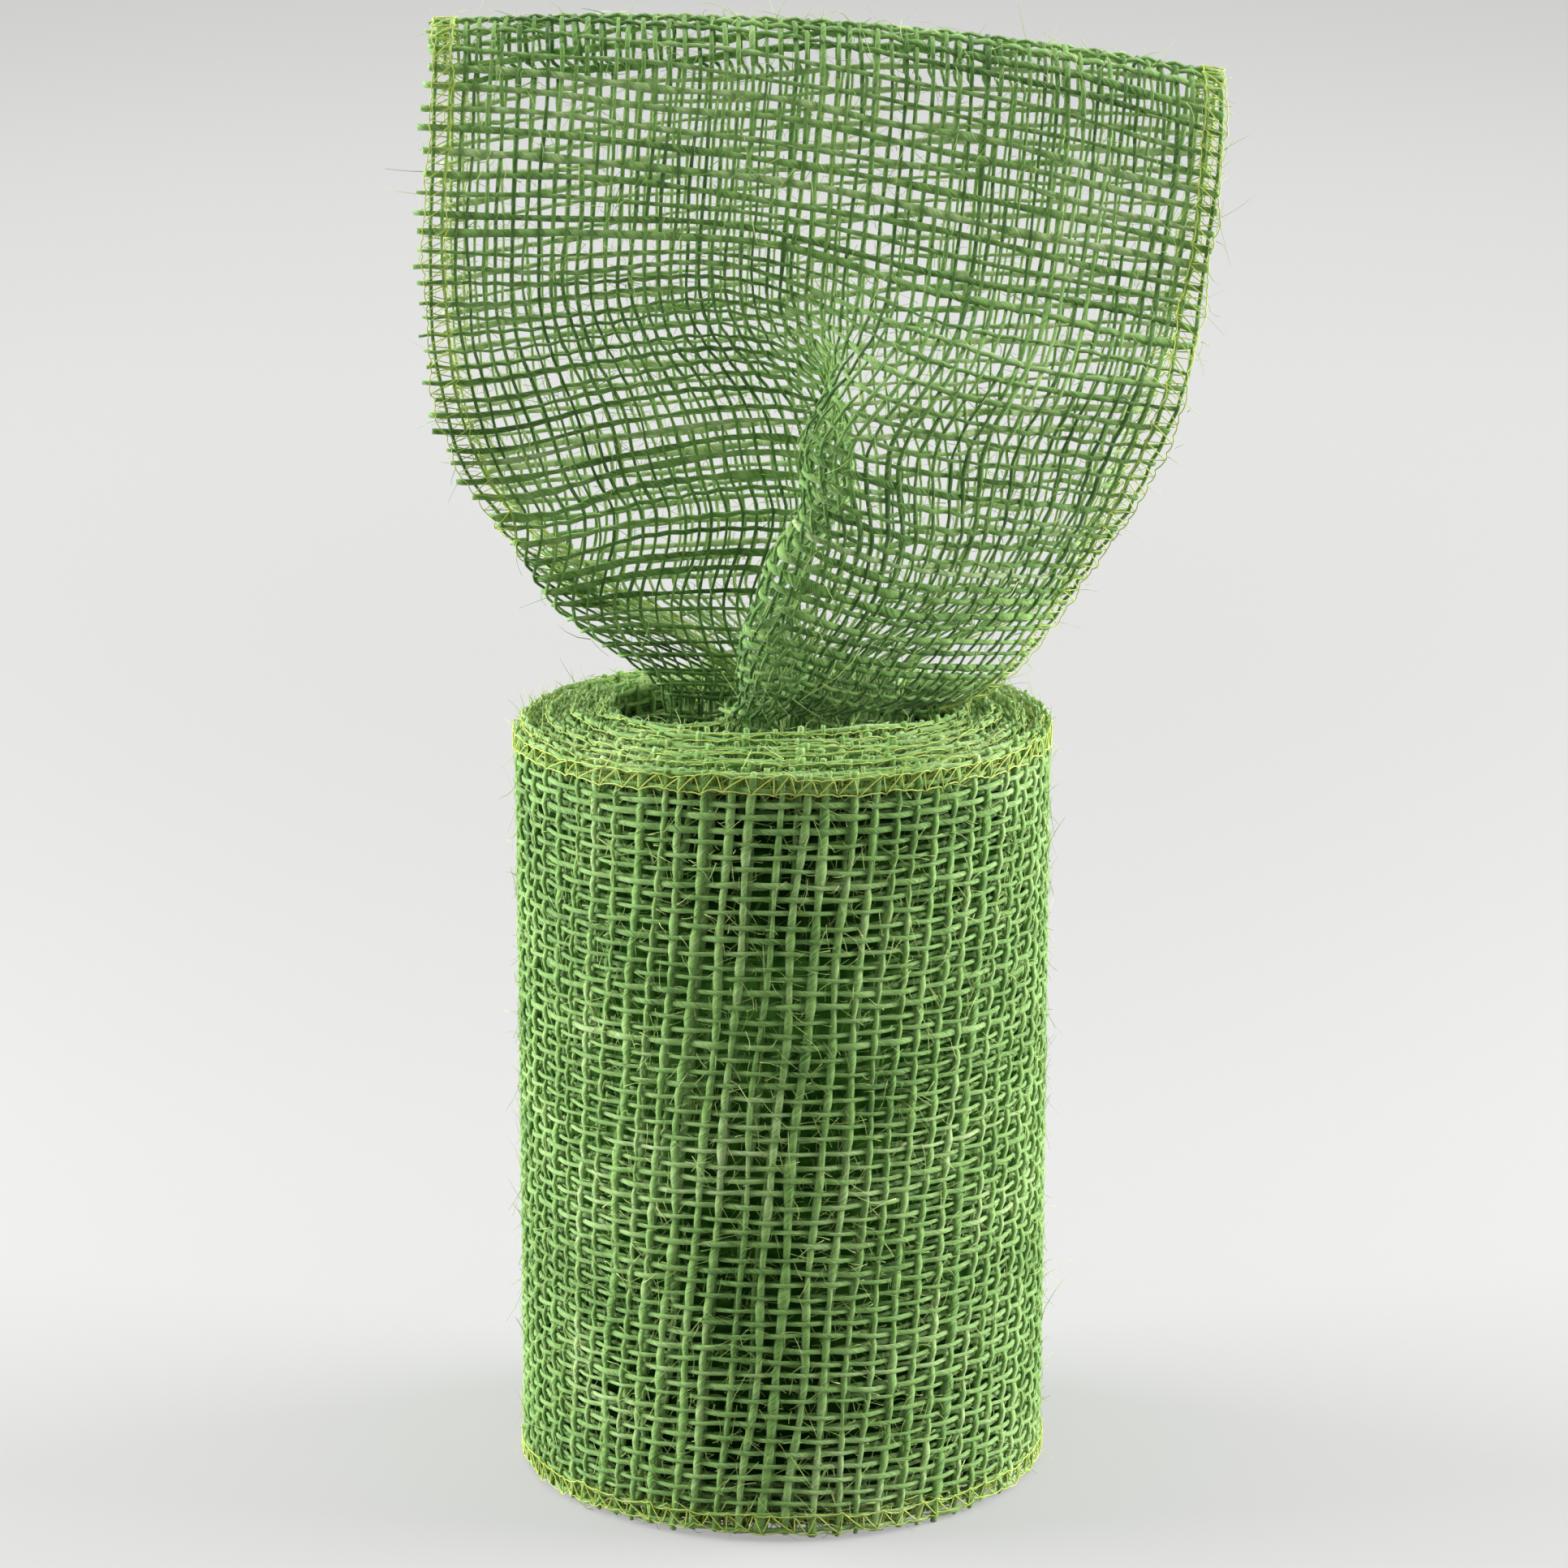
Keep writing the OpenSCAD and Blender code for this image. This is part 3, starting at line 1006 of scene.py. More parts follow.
@dataclass
class Cloth:
    """Open plain weave on a course: warps along the ribbon, wefts across it.

    Sways and slubs are how far yarns wander, or how much their girth does, and how long such a wave is.
    """

    course: Union[Winding, LoopForm]
    start: float
    end: float
    seed: int
    warp_half: Pair
    weft_half: Pair
    looper: float
    tips: tuple[Pair, Pair]
    width: float = 152.0
    warps: int = 58
    edge: float = 2.3
    weft_pitch: float = 4.5
    warp_crimp: float = 0.30
    weft_crimp: float = 0.36
    warp_stray: float = 0.16
    weft_stray: float = 0.32
    warp_uneven: float = 0.12
    weft_uneven: float = 0.22
    warp_sways: Pair = (0.3, 38.0)
    weft_sways: Pair = (0.5, 55.0)
    warp_slubs: Pair = (0.16, 17.0)
    weft_slubs: Pair = (0.24, 19.0)
    warp_tone: float = -0.25
    weft_tone: float = 0.25
    tone_spread: float = 0.34
    tip_bend: float = 0.6
    backing_half: float = 0.25
    stitch: float = 4.2
    needle: float = 5.7
    thread: float = 0.13
    sewn: Stitching = Stitching()
    fuzz: Fuzz = Fuzz()

    def __post_init__(self) -> None:
        """Draws the yarns' places, girths and tones once for the whole ribbon."""
        rng = np.random.default_rng(self.seed)
        even = np.linspace(self.edge, self.width - self.edge, self.warps)
        self.warp_at = even + rng.normal(0, self.warp_stray, self.warps)
        count = int((self.end - self.start) / self.weft_pitch)
        self.weft_at = self.start + (np.arange(count) + 0.5) * (self.end - self.start) / count
        self.weft_at = self.weft_at + rng.normal(0, self.weft_stray, count)
        self.warp_girth = rng.lognormal(0, self.warp_uneven, self.warps)
        self.weft_girth = rng.lognormal(0, self.weft_uneven, count)
        self.warp_tones = self.warp_tone + rng.normal(0, self.tone_spread, self.warps)
        self.weft_tones = self.weft_tone + rng.normal(0, self.tone_spread, count)
        self.warp_sway = Wander(rng, self.warps, *self.warp_sways)
        self.weft_sway = Wander(rng, count, *self.weft_sways)
        self.warp_slub = Wander(rng, self.warps, *self.warp_slubs)
        self.weft_slub = Wander(rng, count, *self.weft_slubs)
        self.weft_ends = np.stack([rng.uniform(*reach, count) for reach in self.tips], axis=1)

    def weft_number(self, along: float) -> int:
        """Returns the first weft at or past a length along the ribbon."""
        return int(np.searchsorted(self.weft_at, along))

    def length_at(self, number: Array) -> Array:
        """Returns the length along the ribbon at a broken weft number."""
        count = len(self.weft_at)
        inside = np.interp(number, np.arange(count), self.weft_at)
        return inside + self.weft_pitch * (np.minimum(number, 0) + np.maximum(number - count + 1, 0))

    def warp_strands(self, first: int, last: int, low: float, high: float, detail: Detail) -> Strands:
        """Draws warps.

        Args:
            first: first weft that they cross.
            last: the weft after the last one.
            low: lowest place across the ribbon.
            high: highest place across it.
            detail: how finely they are drawn.

        Returns:
            The warps.
        """
        rings, _, sides = detail.value
        number = np.arange((last - first) * rings + 1) / rings + first - 0.5
        along = self.length_at(number)
        picked = np.flatnonzero((self.warp_at >= low) & (self.warp_at <= high))
        across = self.warp_at[picked][:, None] + self.warp_sway.at(picked, along)
        lift = np.where(picked % 2, -1, 1)[:, None] * self.warp_crimp * np.cos(np.pi * number)
        girth = self.warp_girth[picked][:, None] * (1 + self.warp_slub.at(picked, along))
        return self.strands(np.broadcast_to(along, across.shape), across, lift, girth, self.warp_half,
                            self.warp_tones[picked], sides)

    def weft_strands(self, first: int, last: int, low: float, high: float, detail: Detail) -> Strands:
        """Draws wefts, whose ends stand out past the outermost warps.

        Args:
            first: first weft.
            last: the weft after the last one.
            low: lowest place across the ribbon.
            high: highest place across it.
            detail: how finely they are drawn.

        Returns:
            The wefts.
        """
        _, rings, sides = detail.value
        inside = np.flatnonzero((self.warp_at >= low) & (self.warp_at <= high))
        number = np.arange((inside[-1] - inside[0]) * rings + 1) / rings + inside[0]
        picked = np.arange(first, last)
        across = np.interp(number, np.arange(self.warps), self.warp_at)
        across = np.broadcast_to(across, (len(picked), len(number)))
        ends = self.weft_ends[picked] * self.edge
        steps = np.array([1.0, 0.5])
        head, tail = [], []
        if inside[0] == 0:
            head = [self.warp_at[0] - ends[:, :1] * steps]
            number = np.concatenate([-self.tip_bend * steps, number])
        if inside[-1] == self.warps - 1:
            tail = [self.warp_at[-1] + ends[:, 1:] * steps[::-1]]
            number = np.concatenate([number, self.warps - 1 + self.tip_bend * steps[::-1]])
        across = np.concatenate([*head, across, *tail], axis=1)
        reach = across[0]
        along = self.weft_at[picked][:, None] + self.weft_sway.at(picked, reach)
        lift = -np.where(picked % 2, -1, 1)[:, None] * self.weft_crimp * np.cos(np.pi * number)
        girth = self.weft_girth[picked][:, None] * (1 + self.weft_slub.at(picked, reach))
        return self.strands(along, across, lift, girth, self.weft_half, self.weft_tones[picked], sides)

    def strands(
        self, along: Array, across: Array, lift: Array, girth: Array, half: Pair, tone: Array, sides: int
    ) -> Strands:
        """Sets strands on the course.

        Args:
            along: length along the ribbon at each ring.
            across: place across it.
            lift: height off the course.
            girth: share of the usual girth.
            half: half width and half thickness.
            tone: tone of each strand.
            sides: sides of a strand.

        Returns:
            The strands.
        """
        point, normal = self.course.frame_at(along, across)
        girth = girth * self.course.girth_at(along, across)
        centre = point + normal * np.broadcast_to(lift, along.shape)[..., None]
        return Strands(centre, normal, half[0] * girth, half[1] * np.sqrt(girth), tone, sides)

    def weave(
        self, first: int, last: int, detail: Detail, low: float = -math.inf, high: float = math.inf,
        tone: float = 0.0,
    ) -> list[Strands]:
        """Draws warps and wefts of one stretch.

        Args:
            first: first weft.
            last: the weft after the last one.
            detail: how finely they are drawn.
            low: lowest place across the ribbon.
            high: highest place across it.
            tone: what is added to their tones; the loop adds painted shade to its front leaf and fold, and
                painted light to its back leaf.

        Returns:
            The warps and the wefts.
        """
        stretch = (first, last, low, high, detail)
        sets = [self.warp_strands(*stretch), self.weft_strands(*stretch)]
        for yarns in sets:
            yarns.tone = yarns.tone + tone
        return sets

    def backing(self, first: int, last: int, low: float, high: float) -> Strands:
        """Draws a plain band for what lies deep between turns.

        Args:
            first: first weft of the stretch.
            last: the weft after the last one.
            low: lowest place across the ribbon.
            high: highest place across it.

        Returns:
            One flat strand.
        """
        along = self.length_at(np.arange(first - 0.5, last, 1.0))[None]
        point, normal = self.course.frame_at(along, np.full_like(along, (low + high) / 2))
        half_wide, half_thick = np.array((high - low) / 2), np.array(self.backing_half)
        return Strands(point, normal, half_wide, half_thick, np.zeros(1), 4)

    def overlock(
        self, start: float, end: float, edge: Edge, rings: int = 4, sides: int = 5, faces: bool = True
    ) -> list[Strands]:
        """Draws the threads over one edge: needle line, chain along the edge, and loopers on both faces.

        Args:
            start: where the stretch begins along the ribbon.
            end: where it ends.
            edge: which edge.
            rings: rings between two turns of a thread.
            sides: sides of a thread.
            faces: whether the loopers are drawn.

        Returns:
            Two threads, or four with the loopers.
        """
        sewn = self.sewn
        rng = np.random.default_rng(self.seed + sewn.salt + edge.value)
        count = int(self.end / self.stitch) + 2 * sewn.spare
        at = np.arange(-sewn.spare, count - sewn.spare) * self.stitch + rng.normal(0, sewn.stray, count)
        apex = at + self.stitch * rng.uniform(*sewn.apex, count)
        deep = self.needle + rng.normal(0, sewn.needle_stray, count)
        out = self.looper + rng.normal(0, sewn.looper_stray, count)
        rise = rng.uniform(*sewn.rise, (4, count))
        keep = np.flatnonzero((at >= start) & (at < end - self.stitch))
        needle_mid = at + self.stitch * rng.uniform(*sewn.middle, count)
        chain_mid = apex + self.stitch * rng.uniform(*sewn.middle, count)
        (nearer, needle_sinks), (further, chain_sinks) = sewn.needle_dip, sewn.chain_dip
        ways = [
            (at, deep, rise[0], needle_mid, deep - nearer, rise[1] - needle_sinks),
            (apex, out, rise[2], chain_mid, out + further, rise[3] - chain_sinks),
        ]
        if faces:
            foot, top = (self.stitch * shift for shift in sewn.inner_shift)
            ways += [(at, deep, rise[1], apex, out, rise[2]),
                     (at + foot, deep, -rise[2], apex + top, out, -rise[3])]
        made = []
        for turn in ways:
            pairs = [np.stack(turn[knot : knot + 3], 1)[keep] for knot in (0, 3)]
            way = np.stack(pairs, 1).reshape(-1, 3)
            knots = np.arange(len(way))
            fine = np.arange((len(way) - 1) * rings + 1) / rings
            along, across, lift = (np.interp(fine, knots, way[:, c])[None] for c in range(3))
            bow = sewn.bow * np.sin(np.pi * (fine % 1.0))[None]
            across = across - bow if edge is Edge.LOW else self.width - across + bow
            tone = np.array([rng.normal(0, sewn.tone_spread)])
            girth, half = np.ones_like(lift), (self.thread, self.thread)
            made.append(self.strands(along, across, lift, girth, half, tone, sides))
        return made

    def fibres(
        self, start: float, end: float, count: int, salt: int, face: Pair = (-0.5, 1.0), low: float = 0.5,
        mean: float = 3.75, rings: int = 4,
    ) -> Strands:
        """Draws loose fibres that stand off the yarns.

        Args:
            start: where the stretch begins along the ribbon.
            end: where it ends.
            count: number of fibres.
            salt: keeps one stretch's fibres unlike another's.
            face: least and greatest lean, from the inner face to the outer one.
            low: lowest place across the ribbon.
            mean: mean length past the first millimetre.
            rings: rings on a fibre.

        Returns:
            The fibres.
        """
        fuzz = self.fuzz
        rng = np.random.default_rng(self.seed + salt)
        along = rng.uniform(start, end, count)
        across = rng.uniform(low, self.width + fuzz.past_edge, count)
        point, normal = self.course.frame_at(along, across)
        near, _ = self.course.frame_at(along + fuzz.ahead, across)
        ahead = unit(near - point)
        aside = np.cross(normal, ahead)
        angle = rng.uniform(0, TURN, count)[:, None]
        lean = rng.uniform(*face, count)[:, None]
        way = unit(ahead * np.cos(angle) + aside * np.sin(angle) + normal * lean * fuzz.lean)
        bend = unit(rng.normal(0, 1, (count, 3))) * rng.uniform(*fuzz.bend, count)[:, None]
        bend = bend - normal * lean * fuzz.fall
        length = rng.gamma(fuzz.evenness, mean / fuzz.evenness, count)[:, None, None] + fuzz.least
        t = np.linspace(0, 1, rings)[None, :, None]
        root = point + normal * fuzz.root * np.sign(lean)
        centre = root[:, None] + (way[:, None] * t + bend[:, None] * t * t) * length
        centre[..., 2] = np.maximum(centre[..., 2], fuzz.floor_gap)
        side = np.broadcast_to(unit(np.cross(way, bend))[:, None], centre.shape)
        girth = fuzz.radius * rng.lognormal(0, fuzz.uneven, count)[:, None] * np.linspace(*fuzz.taper, rings)
        return Strands(centre, side, girth, girth, rng.normal(*fuzz.tone, count), fuzz.sides)


@dataclass
class Finishes:
    """The object's materials, each made once."""

    yarn: StrandFinish = StrandFinish(
        "jute_yarn", "jute_cloth", (0.054, 0.154, 0.022), (0.244, 0.468, 0.108), (0.600, 0.755, 0.370),
        0.22, 2.4, sheen=0.28, fleck=0.83)
    thread: StrandFinish = StrandFinish(
        "overlock_thread", "overlock_thread", (0.34, 0.47, 0.05), (0.56, 0.68, 0.11), (0.76, 0.83, 0.30),
        0.9, 1.4, roughness=0.6, relief=0.3)
    fibre: StrandFinish = StrandFinish(
        "loose_fibre", "jute_cloth", (0.14, 0.28, 0.05), (0.36, 0.54, 0.15), (0.62, 0.74, 0.30),
        0.05, 1.0, sheen=0.0, relief=0.0)
    shade: ShadeFinish = ShadeFinish("inner_shade", "jute_cloth", (0.03, 0.125, 0.012), (0.09, 0.27, 0.035))
    made: dict[str, bpy.types.Material] = field(default_factory=dict)

    def of(self, finish: Union[StrandFinish, ShadeFinish]) -> bpy.types.Material:
        """Finds a finish's material, or makes it the first time.

        Args:
            finish: the finish.

        Returns:
            Its material.
        """
        if finish.name not in self.made:
            self.made[finish.name] = finish.material()
        return self.made[finish.name]


@dataclass
class Dresser:
    """Makes pieces, hangs them on their bodies and hides the solids that they stand for."""

    finishes: Finishes

    def piece(
        self, name: str, sets: list[Strands], finish: StrandFinish, body: str, nodes: Iterable[str] = ()
    ) -> bpy.types.Object:
        """Makes one piece that rides on a body.

        Args:
            name: the piece's name.
            sets: its strands.
            finish: its finish.
            body: the body that carries it.
            nodes: solids that it stands for.

        Returns:
            The piece.
        """
        made = strand_object(name, sets, self.finishes.of(finish))
        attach(made, body)
        if nodes:
            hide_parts(*nodes)
        LOG.info("%s: %d faces", name, len(made.data.polygons))
        return made


@dataclass
class Roll:
    """The wound ribbon with its overlocked edges and its loose outer end."""

    winding: Winding = field(default_factory=Winding)
    seed: int = 11
    band: float = 10.0
    band_lap: float = 2.0
    faced_turns: int = 2
    fibres: int = 6500
    fibre_lean: Pair = (-0.5, 0.3)
    fibre_mean: float = 2.9
    rim_fibres: int = 3500
    rim_lean: Pair = (-1.0, 1.0)
    rim_mean: float = 1.3
    rim_fuzz: float = 4.0
    end_fibres: int = 350
    hinge_gap: float = 9.0

    def __post_init__(self) -> None:
        """Lays the weave over the whole length of the ribbon."""
        w = self.winding
        self.cloth = Cloth(
            w, -w.curl_length, w.wound_length + w.end_length, self.seed, warp_half=(0.47, 0.38),
            weft_half=(0.66, 0.42), looper=1.1, tips=((0.4, 1.2), (0.3, 1.1)), edge=1.2, warp_crimp=0.38,
            weft_crimp=0.30, warp_tone=0.05, weft_tone=0.15, tone_spread=0.24, needle=4.5)

    def weft_at_turn(self, turns_in: float) -> int:
        """Returns the first weft that lies a number of turns in from the last one."""
        return self.cloth.weft_number(self.winding.length_at(self.winding.wound_angle - 360 * turns_in))

    def build(self, dress: Dresser) -> None:
        """Makes every piece of the roll.

        Args:
            dress: maker of the pieces.
        """
        cloth, finish = self.cloth, dress.finishes
        marks = [self.weft_at_turn(turns) for turns in (0, 0.5, 1, 1.5, 2)]
        names = ["outer_turn_front", "outer_turn_back", "second_turn_front", "second_turn_back"]
        details = [Detail.FINE, Detail.FINE, Detail.MEDIUM, Detail.MEDIUM]
        sheets = []
        for name, last, first, detail in zip(names, marks, marks[1:], details):
            nodes = ["wound_ribbon"] if name == "outer_turn_front" else []
            made = dress.piece(name, cloth.weave(first, last, detail), finish.yarn, "roll", nodes)
            sheets.append((made, first, last))
        inmost = self.weft_at_turn(self.winding.wound_angle / 360 - 1)
        made = dress.piece("inmost_turn", cloth.weave(0, inmost, Detail.COARSE), finish.yarn, "roll")
        sheets.append((made, 0, inmost))
        middle = (inmost + marks[-1]) // 2
        for name, first, last in (("inner_turns", inmost, middle), ("middle_turns", middle, marks[-1])):
            sheets.append((self.banded(dress, name, first, last), first, last))
        threads = [self.edge(dress, "upper_overlock", Edge.HIGH, ["upper_edge_seam"]),
                   self.edge(dress, "lower_overlock", Edge.LOW, ["lower_edge_seam"])]
        start, end = float(cloth.length_at(np.array(marks[2]))), self.winding.wound_length
        for name, salt in (("roll_fibres", 5), ("roll_fine_fibres", 105)):
            fuzz = [cloth.fibres(start, end, self.fibres, salt, self.fibre_lean, mean=self.fibre_mean)]
            threads.append(dress.piece(name, fuzz, finish.fibre, "roll"))
        rim = cloth.width - self.rim_fuzz
        fuzz = [cloth.fibres(0.0, end, self.rim_fibres, 9, self.rim_lean, rim, mean=self.rim_mean, rings=3)]
        threads.append(dress.piece("rim_fibres", fuzz, finish.fibre, "roll"))
        for at, (sheet, first, last) in enumerate(sheets):
            self.declare(first, last, threads if at == 0 else [])
        self.build_outer_end(dress, marks[0])

    def declare(
        self, first: int, last: int, with_pieces: list[bpy.types.Object]
    ) -> None:
        """Works out the length of a stretch of wound cloth and the ribbon's width, and keeps neither.

        Args:
            first: its first weft.
            last: the weft after its last one.
            with_pieces: not used.
        """
        length = float(np.diff(self.cloth.length_at(np.array([first - 0.5, last - 0.5])))[0])
        self.cloth.width * MM

    def banded(self, dress: Dresser, name: str, first: int, last: int) -> bpy.types.Object:
        """Makes turns that only show at their edges: woven bands with a plain strip between them.

        Args:
            dress: maker of the piece.
            name: the piece's name.
            first: first weft.
            last: the weft after the last one.

        Returns:
            The piece.
        """
        cloth = self.cloth
        top = cloth.weave(first, last, Detail.MEDIUM, low=cloth.width - self.band)
        foot = cloth.weave(first, last, Detail.COARSE, high=self.band)
        lap = self.band - self.band_lap
        strip = cloth.backing(first, last, lap, cloth.width - lap)
        made = dress.piece(name, [*top, *foot, strip], dress.finishes.yarn, "roll")
        # The plain strip takes the inner_shade material: painted deep shade for the inner turns that it
        # stands in for.
        made.data.materials.append(dress.finishes.of(dress.finishes.shade))
        faces = strip.sides * (strip.centre.shape[1] - 1) + 2
        slots = np.zeros(len(made.data.polygons), dtype=np.int32)
        slots[-faces:] = 1
        made.data.polygons.foreach_set("material_index", slots)
        return made

    def edge(self, dress: Dresser, name: str, edge: Edge, nodes: list[str]) -> bpy.types.Object:
        """Makes the overlock along one edge of the whole winding.

        Args:
            dress: maker of the piece.
            name: the piece's name.
            edge: which edge.
            nodes: solids that it stands for.

        Returns:
            The piece.
        """
        w = self.winding
        inner = w.length_at(w.wound_angle - 360 * self.faced_turns)
        sets = self.cloth.overlock(inner, w.wound_length, edge, rings=5, sides=5)
        sets += self.cloth.overlock(-w.curl_length, inner, edge, rings=4, sides=4, faces=False)
        return dress.piece(name, sets, dress.finishes.thread, "roll", nodes)

    def build_outer_end(self, dress: Dresser, first: int) -> None:
        """Makes the loose outer end, which peels off the roll.

        Args:
            dress: maker of the pieces.
            first: first weft of the end.
        """
        cloth, w, finish = self.cloth, self.winding, dress.finishes
        last = len(cloth.weft_at)
        weave = cloth.weave(first, last, Detail.FINE)
        sheet = dress.piece("outer_end_cloth", weave, finish.yarn, "outer_end", ["outer_end"])
        start, end = w.wound_length, w.wound_length + w.end_length
        extras = [
            dress.piece("outer_end_upper_overlock", cloth.overlock(start, end, Edge.HIGH), finish.thread,
                        "outer_end", ["outer_end_upper_seam"]),
            dress.piece("outer_end_lower_overlock", cloth.overlock(start, end, Edge.LOW), finish.thread,
                        "outer_end", ["outer_end_lower_seam"]),
        ]
        fuzz = [cloth.fibres(start + self.hinge_gap, end, self.end_fibres, 6)]
        extras.append(dress.piece("outer_end_fibres", fuzz, finish.fibre, "outer_end"))
        self.declare(first, last, extras)


@dataclass
class Loop:
    """The ribbon loop that is tucked into the roll and fans out above it."""

    form: LoopForm = field(default_factory=LoopForm)
    seed: int = 23
    # Painted shade darkens the front leaf and the fold, and painted light brightens the back leaf.
    front_painted_shade: float = -0.4
    top_painted_shade: float = -0.3
    back_painted_light: float = 1.0
    fibres: int = 6000
    fibre_lean: Pair = (-1.0, 1.0)

    def __post_init__(self) -> None:
        """Lays the weave over the whole loop."""
        self.cloth = Cloth(
            self.form, 0.0, self.form.length, self.seed, warp_half=(0.41, 0.33), weft_half=(0.62, 0.38),
            looper=1.2, tips=((0.6, 1.4), (0.0, 0.4)), weft_pitch=3.85, stitch=3.85)

    def build(self, dress: Dresser) -> None:
        """Makes every piece of the loop.

        Args:
            dress: maker of the pieces.
        """
        cloth, form, finish = self.cloth, self.form, dress.finishes
        front = form.front_cloth
        marks = [0, cloth.weft_number(front), cloth.weft_number(front + form.fold_length), len(cloth.weft_at)]
        # Each leaf's tone shift paints shade on the front leaf and fold, and light on the back leaf.
        leaves = [
            ("loop_front_cloth", "loop_front_leaf", Detail.MEDIUM, self.front_painted_shade),
            ("loop_top_cloth", "loop_top_fold", Detail.FINE, self.top_painted_shade),
            ("loop_back_cloth", "loop_back_leaf", Detail.MEDIUM, self.back_painted_light),
        ]
        sheets = []
        for (name, node, detail, tone), first, last in zip(leaves, marks, marks[1:]):
            woven = cloth.weave(first, last, detail, tone=tone)
            sheets.append(dress.piece(name, woven, finish.yarn, "loop", [node]))
        fuzz = [cloth.fibres(0, form.length, self.fibres, 7, self.fibre_lean)]
        extras = [
            dress.piece("loop_left_overlock", cloth.overlock(0, form.length, Edge.LOW), finish.thread,
                        "loop", ["loop_left_seam"]),
            dress.piece("loop_right_overlock", cloth.overlock(0, form.length, Edge.HIGH), finish.thread,
                        "loop", ["loop_right_seam"]),
            dress.piece("loop_fibres", fuzz, finish.fibre, "loop"),
        ]
        lengths = [form.tuck + form.front_length, form.fold_length, form.back_length + form.tuck]
        for at, (sheet, length) in enumerate(zip(sheets, lengths)):
            cloth.width * MM


@dataclass(frozen=True)
class SoftBox:
    """A square lamp: its place, the point that it faces, its side, and its power in watts."""

    name: str
    at: Place
    aim: Place
    size: float
    power: float

    def hang(self) -> None:
        """Adds the lamp to the scene."""
        data = bpy.data.lights.new(self.name, "AREA")
        data.size = self.size
        data.energy = self.power
        made = bpy.data.objects.new(self.name, data)
        made.location = self.at
        facing = np.array(self.aim) - np.array(self.at)
        made.rotation_mode = "QUATERNION"
        made.rotation_quaternion = Vector(facing).to_track_quat("-Z", "Y")
        bpy.context.scene.collection.objects.link(made)


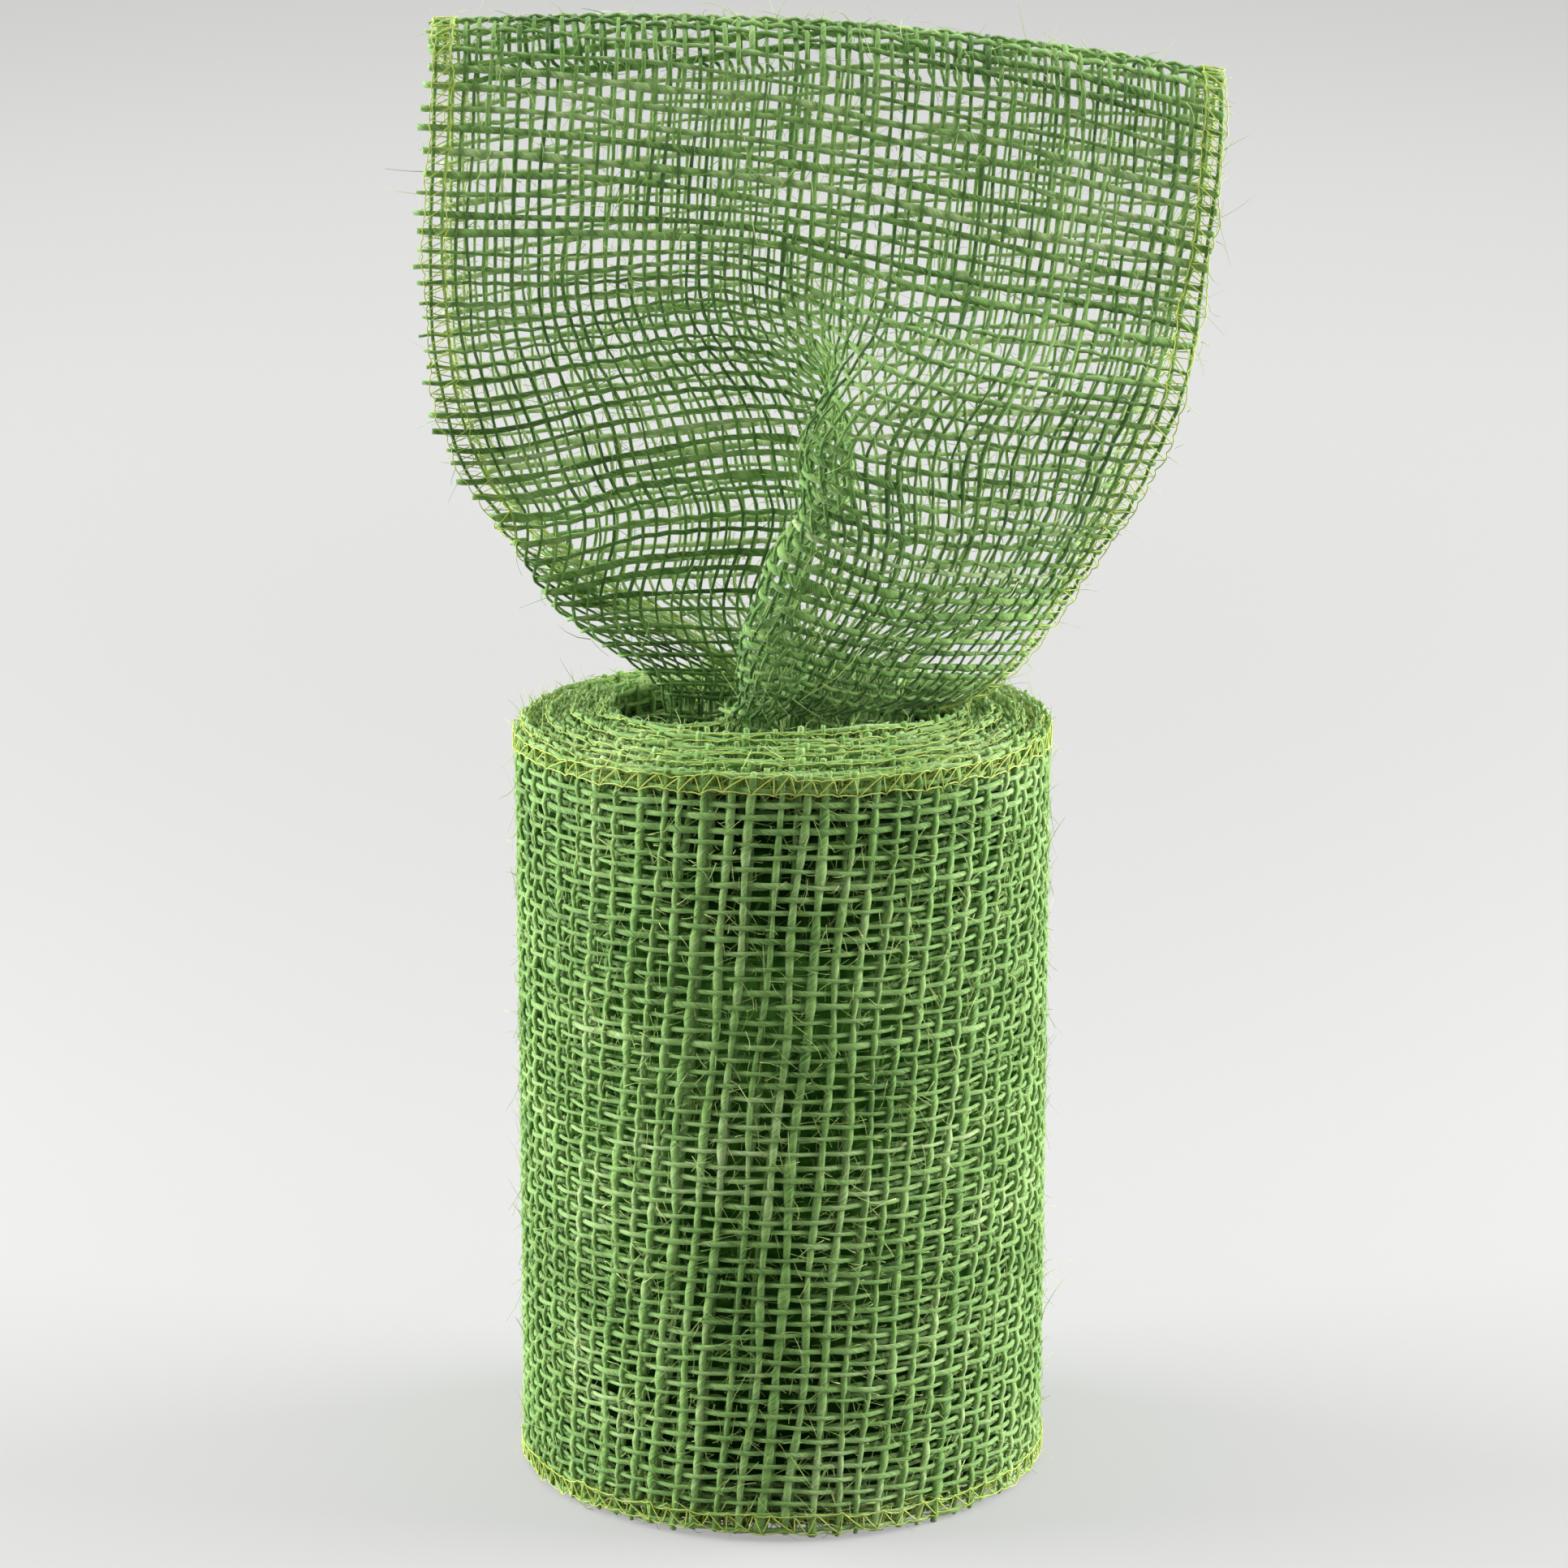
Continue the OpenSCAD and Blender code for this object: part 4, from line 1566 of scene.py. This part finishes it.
@dataclass
class Studio:
    """Camera, soft light and the pale floor that turns up into a backdrop.

    The floor's bend is drawn in steps, of which the first is bend_from radians up.
    """

    frame_px: float = 1932.0
    focal_px: float = 5260.0
    sensor: float = 36.0
    camera_at: Place = (0.0, -0.821, 0.314)
    pitch: float = 12.15
    boxes: tuple[SoftBox, ...] = (
        SoftBox("left_box", (-0.9, 0.1, 0.36), (0.0, 0.0, 0.14), 0.7, 20.0),
        SoftBox("right_box", (0.9, 0.1, 0.36), (0.0, 0.0, 0.14), 0.7, 20.0),
        SoftBox("top_box", (0.0, 0.1, 1.1), (0.0, 0.0, 0.1), 0.9, 6.0),
    )
    fill: float = 0.31
    floor: Colour = (0.24, 0.24, 0.238)
    mottle: float = 0.97
    mottle_scale: float = 1.5
    glow: Colour = (0.372, 0.372, 0.369)
    far_glow: Colour = (0.465, 0.465, 0.462)
    far_over: Pair = (0.0, 0.12)
    far_fades: Pair = (0.16, 0.28)
    far_loss: float = 0.8
    floor_front: float = -3.0
    floor_back: float = 0.3
    bend_r: float = 1.6
    bend_from: float = 0.03
    bend_steps: int = 40
    wall_top: float = 3.0
    half_wide: float = 4.0

    def camera(self) -> None:
        """Sets the camera at the photograph's viewing angle."""
        data = bpy.data.cameras.new("camera")
        data.sensor_width = self.sensor
        data.lens = self.focal_px / self.frame_px * self.sensor
        made = bpy.data.objects.new("camera", data)
        made.location = self.camera_at
        made.rotation_euler = (math.radians(90 - self.pitch), 0, 0)
        bpy.context.scene.collection.objects.link(made)
        bpy.context.scene.camera = made

    def light(self) -> None:
        """Hangs the soft boxes and sets the plain fill light."""
        for box in self.boxes:
            box.hang()
        world = bpy.data.worlds.new("fill")
        world.use_nodes = True
        background = world.node_tree.nodes["Background"]
        background.inputs["Color"].default_value = (1, 1, 1, 1)
        background.inputs["Strength"].default_value = self.fill
        bpy.context.scene.world = world
        bpy.context.scene.view_settings.view_transform = "Standard"

    def sweep(self) -> None:
        """Makes the floor and backdrop as one sheet that turns up behind the object."""
        bpy.ops.object.select_all(action="DESELECT")
        back, bend = self.floor_back, self.bend_r
        profile = [(self.floor_front, 0.0), (back, 0.0)]
        angles = np.linspace(self.bend_from, math.pi / 2, self.bend_steps)
        profile += [(back + bend * math.sin(a), bend - bend * math.cos(a)) for a in angles]
        profile += [(back + bend, self.wall_top)]
        points = [(x, y, z) for y, z in profile for x in (-self.half_wide, self.half_wide)]
        faces = [(2 * i, 2 * i + 1, 2 * i + 3, 2 * i + 2) for i in range(len(profile) - 1)]
        mesh = bpy.data.meshes.new("sweep")
        mesh.from_pydata(points, [], faces)
        mesh.polygons.foreach_set("use_smooth", [True] * len(faces))
        made = bpy.data.objects.new("sweep", mesh)
        bpy.context.scene.collection.objects.link(made)
        g = Graph("pale_paper")
        place = g.node("ShaderNodeTexCoord", {}, {}, "Object")
        mottle = g.node("ShaderNodeTexNoise", {}, {"Vector": place, "Scale": self.mottle_scale})
        darker = tuple(self.mottle * c for c in self.floor)
        g.set(Base_Color=g.blend(darker, self.floor, mottle), Roughness=0.9, Specular_IOR_Level=0.1)
        kinds = ("Is Camera Ray", "Is Glossy Ray", "Is Transmission Ray")
        rays = [g.node("ShaderNodeLightPath", {}, {}, kind) for kind in kinds]
        seen = (rays[0] + rays[1] + rays[2]).math("MINIMUM", 1.0)
        height = g.node("ShaderNodeSeparateXYZ", {}, {0: place}, "Z")
        # Painted light: the backdrop's glow is brightest a little above the floor and dims higher up.
        far = height.between(*self.far_over) * (1 - height.between(*self.far_fades) * self.far_loss)
        glow = g.blend(self.glow, self.far_glow, far)
        g.set(Emission_Color=g.blend((0, 0, 0), glow, seen), Emission_Strength=1.0)
        mesh.materials.append(g.material)


def main() -> None:
    """Builds the studio, the roll and the loop."""
    logging.basicConfig(level=logging.INFO, format="%(message)s")
    studio = Studio()
    studio.camera()
    studio.light()
    dress = Dresser(Finishes())
    Roll().build(dress)
    Loop().build(dress)
    studio.sweep()


if __name__ == "__main__":
    main()
